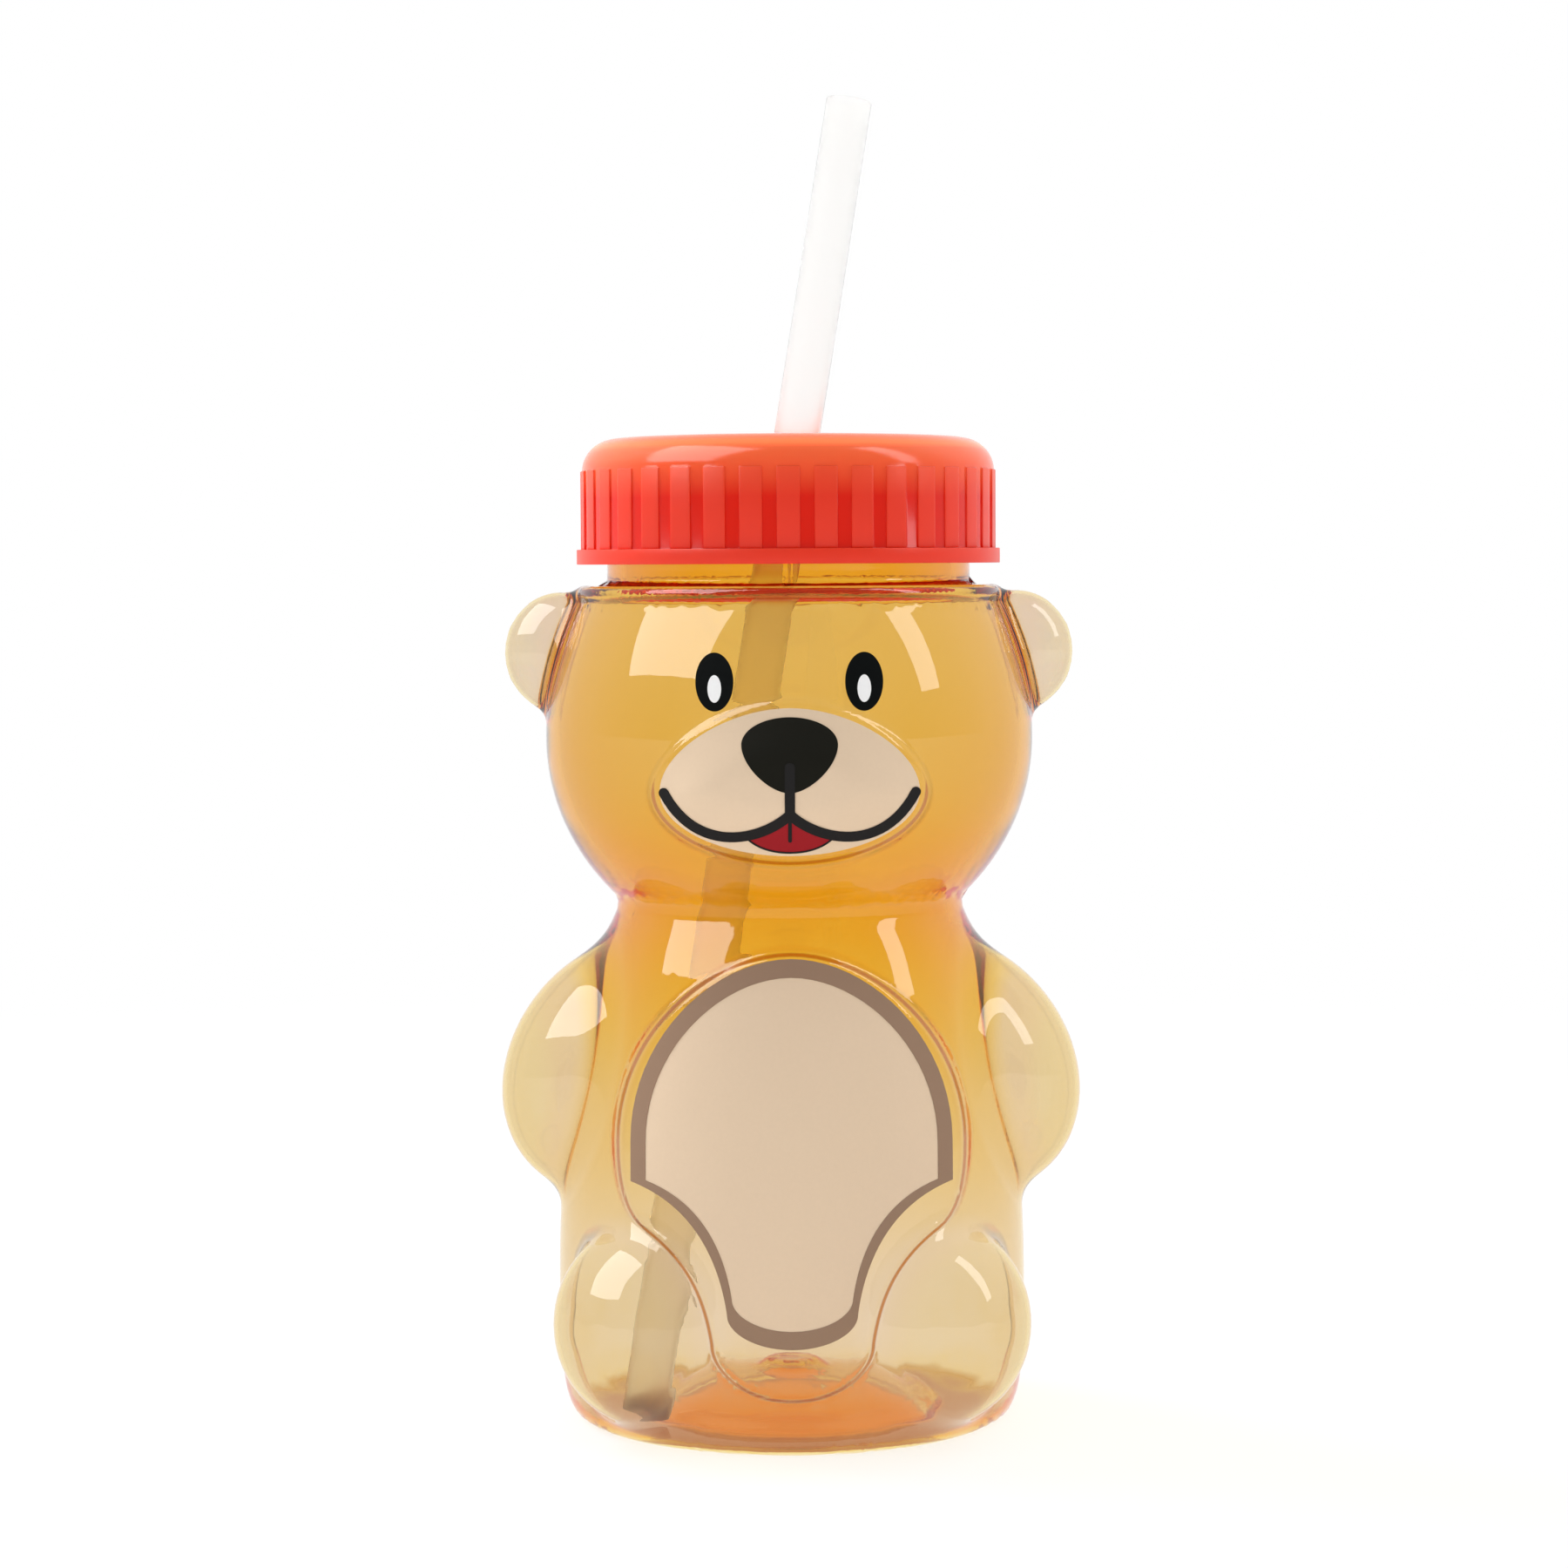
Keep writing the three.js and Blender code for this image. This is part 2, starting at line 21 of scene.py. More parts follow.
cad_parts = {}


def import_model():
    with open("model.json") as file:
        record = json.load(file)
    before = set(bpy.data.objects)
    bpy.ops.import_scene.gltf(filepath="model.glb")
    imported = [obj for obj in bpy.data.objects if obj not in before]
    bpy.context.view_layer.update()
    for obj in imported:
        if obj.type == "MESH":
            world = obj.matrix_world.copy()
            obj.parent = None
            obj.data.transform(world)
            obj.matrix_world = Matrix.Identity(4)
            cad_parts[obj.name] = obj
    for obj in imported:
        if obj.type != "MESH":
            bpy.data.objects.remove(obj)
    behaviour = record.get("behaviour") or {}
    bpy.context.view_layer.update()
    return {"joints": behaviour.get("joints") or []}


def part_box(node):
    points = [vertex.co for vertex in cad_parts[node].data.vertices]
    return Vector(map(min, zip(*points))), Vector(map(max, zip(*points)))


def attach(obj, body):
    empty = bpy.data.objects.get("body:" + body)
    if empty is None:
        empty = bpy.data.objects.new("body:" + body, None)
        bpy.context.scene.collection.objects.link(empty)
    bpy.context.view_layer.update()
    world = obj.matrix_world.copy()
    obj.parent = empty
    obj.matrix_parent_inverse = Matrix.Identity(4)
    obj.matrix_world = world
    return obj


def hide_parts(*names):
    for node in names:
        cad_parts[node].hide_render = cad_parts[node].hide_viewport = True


LOG = logging.getLogger("bear_bottle")
MM = 0.001
FULL_TURN = 2 * math.pi

Field = Callable[[np.ndarray], np.ndarray]
Colour = tuple[float, float, float]
Spot = tuple[float, float]
Piece = bpy.types.Object
Material = bpy.types.Material
Node = bpy.types.Node
Socket = bpy.types.NodeSocket

WHITE: Colour = (1.0, 1.0, 1.0)
NOISE_SPAN: Spot = (0.3, 0.7)
SMOOTH_ANGLE = math.radians(40)
TINY = 1e-6
WELD = 1e-6


class Side(Enum):
    """Left and right as seen from the front, with the sign of X there."""

    LEFT = -1
    RIGHT = 1


class Pick(Enum):
    """What edit mode selects."""

    CORNERS = "VERT"
    EDGES = "EDGE"
    FACES = "FACE"


class ShadedEdge(Enum):
    """The stored distances to the raised edges of the shell, along which shade is painted."""

    PANEL = "panel_gap"
    MUZZLE = "muzzle_gap"


class Layer(Enum):
    """How far an ink's underside lies off the shell, in millimetres."""

    FIRST = 0.04
    SECOND = 0.12
    THIRD = 0.20


# Curves and flat shapes


def bezier(*handles: Spot, steps: int = 20) -> np.ndarray:
    """Points along a Bezier curve.

    Args:
        handles: The curve's start, handles and end.
        steps: How many stretches the curve is cut into.

    Returns:
        The points as rows of two numbers.
    """
    share = np.linspace(0, 1, steps + 1)[:, None]
    row = [np.array(handle, float) + 0 * share for handle in handles]
    while len(row) > 1:
        row = [start + (end - start) * share for start, end in zip(row, row[1:])]
    return row[0]


def arc(middle: Spot, radii: Spot, start: float, end: float, steps: int = 20) -> np.ndarray:
    """Points along an arc of an ellipse.

    Args:
        middle: The ellipse's middle.
        radii: Its half sizes along both axes.
        start: First angle in radians.
        end: Last angle in radians.
        steps: How many stretches the arc is cut into.

    Returns:
        The points as rows of two numbers.
    """
    angle = np.linspace(start, end, steps + 1)
    return np.column_stack([middle[0] + radii[0] * np.cos(angle), middle[1] + radii[1] * np.sin(angle)])


def mirrored(half: np.ndarray) -> np.ndarray:
    """A whole outline from its right half, which runs from the bottom point up to the top point."""
    return np.vstack([half, half[-2:0:-1] * (-1, 1)])


@dataclass(frozen=True)
class Egg:
    """An egg outline whose fullness below and above can differ, 0.55 for a plain ellipse."""

    half_width: float
    bottom: float
    middle: float
    top: float
    low: float = 0.55
    high: float = 0.55

    def outline(self) -> np.ndarray:
        """The outline's points, from the bottom up the right side and down the left side.

        Returns:
            One row of across and up for each point.
        """
        width = self.half_width
        down = self.middle - (self.middle - self.bottom) * self.low
        up = self.middle + (self.top - self.middle) * self.high
        lower = bezier((0, self.bottom), (width * self.low, self.bottom), (width, down), (width, self.middle))
        upper = bezier((width, self.middle), (width, up), (width * self.high, self.top), (0, self.top))
        return mirrored(np.vstack([lower, upper[1:]]))


def outline_distance(outline: np.ndarray, spots: np.ndarray) -> np.ndarray:
    """Signed distance from spots on a plane to a closed outline.

    Args:
        outline: The outline's points in order.
        spots: Where the distance is wanted.

    Returns:
        One distance for each spot, negative inside.
    """
    nearest = np.full(len(spots), np.inf)
    inside = np.zeros(len(spots), bool)
    for start, end in zip(outline, np.roll(outline, -1, axis=0)):
        edge = end - start
        away = spots - start
        share = np.clip(away @ edge / max(edge @ edge, TINY**2), 0, 1)
        gap = away - share[:, None] * edge
        nearest = np.minimum(nearest, (gap * gap).sum(axis=1))
        if start[1] != end[1]:
            spans = (start[1] > spots[:, 1]) != (end[1] > spots[:, 1])
            crossing = start[0] + away[:, 1] * edge[0] / edge[1]
            inside ^= spans & (spots[:, 0] < crossing)
    return np.where(inside, -1, 1) * np.sqrt(nearest)


class FlatShape:
    """Signed distance to a closed outline, kept on a fine lattice that is quick to read."""

    def __init__(self, outline: np.ndarray, pitch: float, margin: float, left: float = -math.inf) -> None:
        """Measures the lattice.

        Args:
            outline: The outline's points in order.
            pitch: Spacing of the lattice.
            margin: How far the lattice reaches past the outline.
            left: The lattice starts no further left than this.
        """
        self.pitch = pitch
        self.low = outline.min(axis=0) - margin
        self.low[0] = max(self.low[0], left)
        counts = np.ceil((outline.max(axis=0) + margin - self.low) / pitch).astype(int) + 1
        across, up = (self.low[i] + pitch * np.arange(counts[i]) for i in (0, 1))
        lattice = np.stack(np.meshgrid(across, up, indexing="ij"), axis=-1)
        self.values = outline_distance(outline, lattice.reshape(-1, 2)).reshape(counts)

    def distance(self, across: np.ndarray, up: np.ndarray) -> np.ndarray:
        """Distances at the given places, negative inside.

        Args:
            across: How far across each place is.
            up: How far up each place is.

        Returns:
            One distance for each place.
        """
        place = (np.column_stack([across, up]) - self.low) / self.pitch
        short_of_end = 1.001
        place = np.clip(place, 0, np.array(self.values.shape) - short_of_end)
        cell = place.astype(int)
        share_x, share_y = (place - cell).T
        i, j = cell.T
        lower = self.values[i, j] * (1 - share_x) + self.values[i + 1, j] * share_x
        upper = self.values[i, j + 1] * (1 - share_x) + self.values[i + 1, j + 1] * share_x
        return lower * (1 - share_y) + upper * share_y

    def around(self, points: np.ndarray) -> np.ndarray:
        """Distances to the form that the shape makes when it is spun about the bottle's axis."""
        return self.distance(np.hypot(points[:, 0], points[:, 1]), points[:, 2])

    def facing(self, points: np.ndarray) -> np.ndarray:
        """Distances to the shape as it is seen from the front."""
        return self.distance(points[:, 0], points[:, 2])


# Smooth forms


def soft_union(first: np.ndarray, second: np.ndarray, blend: float) -> np.ndarray:
    """The distance to two forms that run into each other with a fillet of about the blend's size."""
    nearness = np.clip(1 - np.abs(first - second) / blend, 0, None)
    return np.minimum(first, second) - nearness**2 * blend / 4


def soft_step(value: np.ndarray) -> np.ndarray:
    """A smooth rise from 0 at -1 to 1 at +1."""
    share = np.clip((value + 1) / 2, 0, 1)
    return share * share * (3 - 2 * share)


def slope(form: Field, points: np.ndarray, reach: float) -> np.ndarray:
    """A form's slope at some points, measured over a short reach to both sides."""
    steps = reach * np.eye(3)
    return np.column_stack([(form(points + step) - form(points - step)) / (2 * reach) for step in steps])


def settle(points: np.ndarray, form: Field, rounds: int = 6) -> np.ndarray:
    """Moves points onto a form's surface along its slope.

    Args:
        points: Points near the surface.
        form: The form's distance.
        rounds: How often the points are moved.

    Returns:
        The moved points.
    """
    reach = 0.03
    longest = 0.8
    gentlest = 0.2
    for _ in range(rounds):
        steep = slope(form, points, reach)
        steepness = np.maximum((steep * steep).sum(axis=1), gentlest)
        step = np.clip(form(points) / steepness, -longest, longest)
        points = points - step[:, None] * steep
    return points


@dataclass(frozen=True)
class Lobe:
    """An egg-shaped bulge of the shell."""

    centre: tuple[float, float, float]
    half: tuple[float, float, float]
    blend: float
    wall: float
    tilt: float = 0.0
    pocket: bool = False

    def on(self, side: Side) -> Lobe:
        """The same bulge on one side of the bear."""
        x, y, z = self.centre
        return replace(self, centre=(side.value * x, y, z), tilt=side.value * self.tilt)

    def distance(self, points: np.ndarray, shrink: float = 0.0) -> np.ndarray:
        """Distance to the bulge, or to its inside when it is shrunk by its wall.

        Args:
            points: Points in the bottle's frame.
            shrink: How much smaller the bulge is taken all round.

        Returns:
            One distance for each point, negative inside.
        """
        half = np.array(self.half) - shrink
        local = points - self.centre
        cos, sin = math.cos(self.tilt), math.sin(self.tilt)
        x = local[:, 0] * cos - local[:, 2] * sin
        z = local[:, 0] * sin + local[:, 2] * cos
        scaled = np.column_stack([x, local[:, 1], z]) / half
        near = np.linalg.norm(scaled, axis=1)
        steep = np.linalg.norm(scaled / half, axis=1)
        return near * (near - 1) / np.maximum(steep, TINY)

    def ball(self, shrink: float) -> Piece:
        """A plain ball of the bulge's size, in place.

        Args:
            shrink: How much smaller the bulge is taken all round.

        Returns:
            The ball.
        """
        bpy.ops.mesh.primitive_uv_sphere_add(segments=48, ring_count=24, radius=1)
        piece = bpy.context.object
        turn = Matrix.Rotation(self.tilt, 4, "Y")
        size = Matrix.Diagonal([(half - shrink) * MM for half in self.half]).to_4x4()
        place = Matrix.Translation(to_frame(np.array(self.centre)))
        piece.data.transform(place @ turn @ size)
        return piece


# Ways of working on a mesh


class Axis:
    """Where the bottle's axis stands in the shared frame, in metres."""

    x: float = 0.0
    y: float = 0.0

    @classmethod
    def read(cls) -> None:
        """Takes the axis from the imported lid."""
        low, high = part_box("screw_lid")
        cls.x = (low.x + high.x) / 2
        cls.y = (low.y + high.y) / 2


def to_frame(points: np.ndarray) -> np.ndarray:
    """Millimetres in the bottle's frame to metres in the shared frame."""
    return points * MM + (Axis.x, Axis.y, 0)


def to_bottle(places: np.ndarray) -> np.ndarray:
    """Metres in the shared frame to millimetres in the bottle's frame."""
    return (places - (Axis.x, Axis.y, 0)) / MM


def read_places(elements: bpy.types.bpy_prop_collection, name: str) -> np.ndarray:
    """One place for each element of a mesh, in the bottle's frame.

    Args:
        elements: The mesh's corners or faces.
        name: The property that holds their place.

    Returns:
        One row of three numbers for each element.
    """
    flat = np.empty(len(elements) * 3)
    elements.foreach_get(name, flat)
    return to_bottle(flat.reshape(-1, 3))


def read_corners(piece: Piece) -> np.ndarray:
    """A mesh's corners in the bottle's frame."""
    return read_places(piece.data.vertices, "co")


def write_corners(piece: Piece, points: np.ndarray) -> None:
    """Sets a mesh's corners from the bottle's frame."""
    piece.data.vertices.foreach_set("co", to_frame(points).ravel())
    piece.data.update()


def face_middles(piece: Piece) -> np.ndarray:
    """The middles of a mesh's faces in the bottle's frame."""
    return read_places(piece.data.polygons, "center")


def make_active(piece: Piece) -> None:
    """Selects one piece alone.

    Args:
        piece: The piece.
    """
    bpy.ops.object.select_all(action="DESELECT")
    piece.select_set(True)
    bpy.context.view_layer.objects.active = piece


@contextmanager
def editing(piece: Piece, pick: Pick = Pick.FACES, select: str = "") -> Iterator[None]:
    """Edit mode on one piece, where all or nothing can be selected first.

    Args:
        piece: The piece.
        pick: What can be selected.
        select: SELECT for all, DESELECT for nothing, or empty to leave the selection.

    Yields:
        Nothing to use: edit mode lasts as long as the block.
    """
    make_active(piece)
    bpy.ops.object.mode_set(mode="EDIT")
    bpy.ops.mesh.select_mode(type=pick.value)
    if select:
        bpy.ops.mesh.select_all(action=select)
    yield
    bpy.ops.object.mode_set(mode="OBJECT")


def choose_faces(piece: Piece, chosen: np.ndarray) -> None:
    """Selects faces by a row of true and false.

    Args:
        piece: The piece.
        chosen: True for each face that is selected.
    """
    with editing(piece):
        bpy.ops.mesh.select_all(action="DESELECT")
    piece.data.polygons.foreach_set("select", chosen)


def apply_modifier(piece: Piece, kind: str, **settings: object) -> None:
    """Adds a modifier, sets it and applies it.

    Args:
        piece: The piece.
        kind: The modifier's kind.
        settings: Its settings by name.
    """
    make_active(piece)
    modifier = piece.modifiers.new(kind.lower(), kind)
    for name, value in settings.items():
        setattr(modifier, name, value)
    bpy.ops.object.modifier_apply(modifier=modifier.name)


def shade(piece: Piece) -> Piece:
    """Shades a piece smooth between its sharp edges.

    Args:
        piece: The piece.

    Returns:
        The same piece.
    """
    make_active(piece)
    bpy.ops.object.shade_smooth_by_angle(angle=SMOOTH_ANGLE)
    return piece


def bevel(piece: Piece, width: float, segments: int, degrees: float) -> Piece:
    """Rounds the edges that are sharper than an angle, and shades the piece.

    Args:
        piece: The piece.
        width: Width of the rounding in millimetres.
        segments: How many faces the rounding has.
        degrees: The least angle of an edge that is rounded.

    Returns:
        The same piece.
    """
    limit = {"limit_method": "ANGLE", "angle_limit": math.radians(degrees)}
    apply_modifier(piece, "BEVEL", width=width * MM, segments=segments, **limit)
    return shade(piece)


def rename(piece: Piece, name: str) -> Piece:
    """Names a piece and its mesh.

    Args:
        piece: The piece.
        name: The new name.

    Returns:
        The same piece.
    """
    piece.name = name
    piece.data.name = name
    return piece


def join(name: str, pieces: Sequence[Piece]) -> Piece:
    """Joins pieces into the first one and names it.

    Args:
        name: The joined piece's name.
        pieces: The pieces, of which the first is kept.

    Returns:
        The joined piece.
    """
    make_active(pieces[0])
    for piece in pieces:
        piece.select_set(True)
    bpy.ops.object.join()
    return rename(pieces[0], name)


def stand(name: str, data: bpy.types.ID) -> Piece:
    """A new object in the scene.

    Args:
        name: The object's name.
        data: The mesh, lamp or camera in it.

    Returns:
        The new object.
    """
    holder = bpy.data.objects.new(name, data)
    bpy.context.scene.collection.objects.link(holder)
    return holder


def sheet(
    name: str, points: np.ndarray, edges: Sequence[tuple[int, int]], faces: Sequence[tuple[int, ...]]
) -> Piece:
    """A new piece from corners in the bottle's frame, with edges or faces between them.

    Args:
        name: The new piece's name.
        points: Points in the bottle's frame.
        edges: Pairs of corners, where there are no faces.
        faces: Rows of corners.

    Returns:
        The new piece.
    """
    mesh = bpy.data.meshes.new(name)
    mesh.from_pydata(to_frame(points), edges, faces)
    return stand(name, mesh)


def grid_faces(rows: int, count: int, closed: bool) -> list[tuple[int, ...]]:
    """Faces between rows of points, which are closed rings or open lines.

    Args:
        rows: How many rows of faces there are.
        count: How many points a row has.
        closed: Whether a row's last point joins its first.

    Returns:
        The corners of each face.
    """
    faces = []
    for row in range(rows):
        for i in range(count if closed else count - 1):
            a, b = row * count + i, row * count + (i + 1) % count
            faces.append((a, b, b + count, a + count))
    return faces


def spun(name: str, profile: np.ndarray, steps: int, closed: bool) -> Piece:
    """A side profile of radius and height, spun once about the bottle's axis.

    Args:
        name: The new piece's name.
        profile: The profile's points in order.
        steps: How many steps the turn has.
        closed: Whether the profile ends where it starts.

    Returns:
        The spun piece with its faces pointing out.
    """
    count = len(profile)
    edges = [(i, (i + 1) % count) for i in range(count if closed else count - 1)]
    corners = np.column_stack([profile[:, 0], np.zeros(count), profile[:, 1]])
    piece = sheet(name, corners, edges, [])
    with editing(piece, Pick.CORNERS, "SELECT"):
        bpy.ops.mesh.spin(steps=steps, angle=FULL_TURN, center=(Axis.x, Axis.y, 0), axis=(0, 0, 1))
        bpy.ops.mesh.select_all(action="SELECT")
        bpy.ops.mesh.remove_doubles(threshold=WELD)
        bpy.ops.mesh.normals_make_consistent(inside=False)
    return piece


def hand_over(piece: Piece, material: Material, body: str, slot: str, *nodes: str) -> None:
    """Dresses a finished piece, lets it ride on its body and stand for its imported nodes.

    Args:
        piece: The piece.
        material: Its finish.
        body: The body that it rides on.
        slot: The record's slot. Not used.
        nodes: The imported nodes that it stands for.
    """
    piece.data.materials.clear()
    piece.data.materials.append(material)
    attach(piece, body)
    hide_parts(*nodes)
    LOG.info("%s: %d faces, rides on %s", piece.name, len(piece.data.polygons), body)


# Finishes


class NodeSheet:
    """A node tree with short ways to add and join nodes."""

    def __init__(self, tree: bpy.types.NodeTree) -> None:
        """Starts with an empty tree."""
        self.tree = tree
        self.tree.nodes.clear()

    @classmethod
    def of_material(cls, name: str) -> tuple[NodeSheet, Material]:
        """A new material and its empty tree.

        Args:
            name: The material's name.

        Returns:
            The tree and the material.
        """
        material = bpy.data.materials.new(name)
        material.use_nodes = True
        return cls(material.node_tree), material

    def add(self, kind: str, **settings: object) -> Node:
        """A new node with its own settings.

        Args:
            kind: The node's kind, without the words that every shader node's kind starts with.
            settings: Its settings by name.

        Returns:
            The new node.
        """
        node = self.tree.nodes.new(f"ShaderNode{kind}")
        for name, value in settings.items():
            setattr(node, name, value)
        return node

    def feed(self, node: Node, *terms: object, **inputs: object) -> Node:
        """Gives a node its inputs, which are sockets or plain values.

        Args:
            node: The node.
            terms: Its first inputs in order.
            inputs: Other inputs by name, with underscores for spaces.

        Returns:
            The same node.
        """
        pairs = list(zip(terms, node.inputs))
        pairs += [(value, node.inputs[name.replace("_", " ")]) for name, value in inputs.items()]
        for value, target in pairs:
            if isinstance(value, Socket):
                self.tree.links.new(value, target)
            else:
                target.default_value = (*value, 1) if target.type == "RGBA" else value
        return node

    def principled(self, **inputs: object) -> Socket:
        """A Principled shader."""
        return self.feed(self.add("BsdfPrincipled"), **inputs).outputs["BSDF"]

    def blend(self, share: Socket, first: Socket, second: Socket) -> Socket:
        """A blend of two shaders."""
        return self.feed(self.add("MixShader"), share, first, second).outputs["Shader"]

    def math(self, operation: str, *terms: object, clamp: bool = False) -> Socket:
        """A sum, product or the like of values."""
        return self.feed(self.add("Math", operation=operation, use_clamp=clamp), *terms).outputs["Value"]

    def vector(self, operation: str, *terms: object) -> bpy.types.NodeOutputs:
        """A sum, product or length of vectors."""
        return self.feed(self.add("VectorMath", operation=operation), *terms).outputs

    def mix(self, share: object, first: object, second: object, kind: str = "RGBA") -> Socket:
        """A blend of two colours or values."""
        node = self.add("Mix", data_type=kind)
        return self.feed(node, Factor=share, A=first, B=second).outputs["Result"]

    def ramp(
        self, value: Socket, span: Spot, start: float = 0.0, end: float = 1.0, soft: bool = False
    ) -> Socket:
        """A value that goes from a start to an end while another goes through a span.

        Args:
            value: The value that goes through the span.
            span: Where the span starts and ends.
            start: What comes out at its start.
            end: What comes out at its end.
            soft: Whether it starts and ends gently.

        Returns:
            What comes out.
        """
        node = self.add("MapRange", interpolation_type="SMOOTHSTEP" if soft else "LINEAR")
        limits = {"From_Min": span[0], "From_Max": span[1], "To_Min": start, "To_Max": end}
        return self.feed(node, Value=value, **limits).outputs["Result"]

    def place(self, kind: str = "Object") -> Socket:
        """Where a point lies, on its piece or as a direction."""
        return self.add("TexCoord").outputs[kind]

    def part(self, vector: Socket, axis: str) -> Socket:
        """One part of a vector."""
        return self.feed(self.add("SeparateXYZ"), vector).outputs[axis]

    def height(self, low: float, high: float) -> Socket:
        """A rise from 0 to 1 between two heights in millimetres."""
        return self.ramp(self.part(self.place(), "Z"), (low * MM, high * MM))

    def outwards(self, near: float, far: float, most: float = 1.0) -> Socket:
        """A rise from 0 to the most between two distances from the bottle's axis, in millimetres.

        Args:
            near: Where the rise starts.
            far: Where it ends.
            most: Its value from there on.

        Returns:
            The rise.
        """
        moved = self.vector("SUBTRACT", self.place(), (Axis.x, Axis.y, 0))["Vector"]
        flat = self.vector("MULTIPLY", moved, (1, 1, 0))["Vector"]
        return self.ramp(self.vector("LENGTH", flat)["Value"], (near * MM, far * MM), end=most)

    def noise(self, size: float) -> Socket:
        """Noise with spots of a size in millimetres, fixed to the piece."""
        return self.feed(self.add("TexNoise"), Vector=self.place(), Scale=1 / (size * MM)).outputs["Fac"]

    def spread(self, noise: Socket, low: float = 0.0, high: float = 1.0) -> Socket:
        """Noise brought into a range."""
        return self.ramp(noise, NOISE_SPAN, low, high)

    def bump(self, noise: Socket, height: float) -> Socket:
        """Noise as unevenness of a height in millimetres."""
        return self.feed(self.add("Bump"), Distance=height * MM, Height=noise).outputs["Normal"]

    def finish(self, surface: Socket, **inside: Socket) -> None:
        """Joins the shaders to the output."""
        self.feed(self.add("OutputMaterial"), Surface=surface, **inside)


@dataclass(frozen=True)
class AmberPlastic:
    """Clear plastic whose colour deepens with the thickness of its wall, with painted shade along the raised
    edges of the panel and muzzle.
    """

    refraction: float = 1.5
    clear: Colour = (0.9825, 0.8425, 0.1875)
    density: float = 800.0
    pale: Colour = (0.90, 0.838, 0.91)
    deep: Colour = (0.935, 0.823, 0.53)
    thin: Colour = (0.9, 0.858, 0.905)
    # Painted shade along the raised edges of the panel and the muzzle.
    line: Colour = (0.40, 0.10, 0.012)
    deepens: Spot = (48.0, 76.0)
    pales: Spot = (110.0, 84.0)
    neck: Spot = (128.5, 130.5)
    arms: Spot = (32.5, 35.5)
    ears: Spot = (38.3, 41.0)
    edge_shade_span: Spot = (0.126, 0.42)
    muzzle_edge_shade: float = 0.9
    gloss: Spot = (0.015, 0.04)
    ripple_size: float = 14.0
    ripple_height: float = 0.02

    def painted_edge_shade(self, nodes: NodeSheet, line: ShadedEdge, depth: float) -> Socket:
        """A value that is the depth of the painted shade on an edge of the shell and nil away from it."""
        gap = nodes.add("Attribute", attribute_name=line.value).outputs["Fac"]
        return nodes.ramp(gap, self.edge_shade_span, depth, 0.0, soft=True)

    def tinted(self, nodes: NodeSheet) -> Socket:
        """The colour: deeper at the waist and neck, paler on the arms, darkest where shade is painted along
        the raised edges.

        Args:
            nodes: The nodes that it is added to.

        Returns:
            The colour.
        """
        waist = nodes.math("MINIMUM", nodes.height(*self.deepens), nodes.height(*self.pales))
        depth = nodes.math("MAXIMUM", waist, nodes.height(*self.neck))
        colour = nodes.mix(depth, self.pale, self.deep)
        colour = nodes.mix(nodes.outwards(*self.arms), colour, self.pale)
        colour = nodes.mix(nodes.outwards(*self.ears), colour, self.thin)
        panel = self.painted_edge_shade(nodes, ShadedEdge.PANEL, 1.0)
        muzzle = self.painted_edge_shade(nodes, ShadedEdge.MUZZLE, self.muzzle_edge_shade)
        return nodes.mix(nodes.math("MAXIMUM", panel, muzzle), colour, self.line)

    def material(self) -> Material:
        """The amber material. Lamps shine through it, and its volume tints what is seen through it.

        Returns:
            The new material.
        """
        nodes, material = NodeSheet.of_material("amber_plastic")
        ripple = nodes.noise(self.ripple_size)
        wall = nodes.principled(
            Transmission_Weight=1.0,
            IOR=self.refraction,
            Base_Color=self.tinted(nodes),
            Roughness=nodes.spread(ripple, *self.gloss),
            Normal=nodes.bump(ripple, self.ripple_height),
        )
        shadow = nodes.add("LightPath").outputs["Is Shadow Ray"]
        open_way = nodes.add("BsdfTransparent").outputs["BSDF"]
        absorbing = nodes.feed(nodes.add("VolumeAbsorption"), Color=self.clear, Density=self.density)
        nodes.finish(nodes.blend(shadow, wall, open_way), Volume=absorbing.outputs["Volume"])
        return material


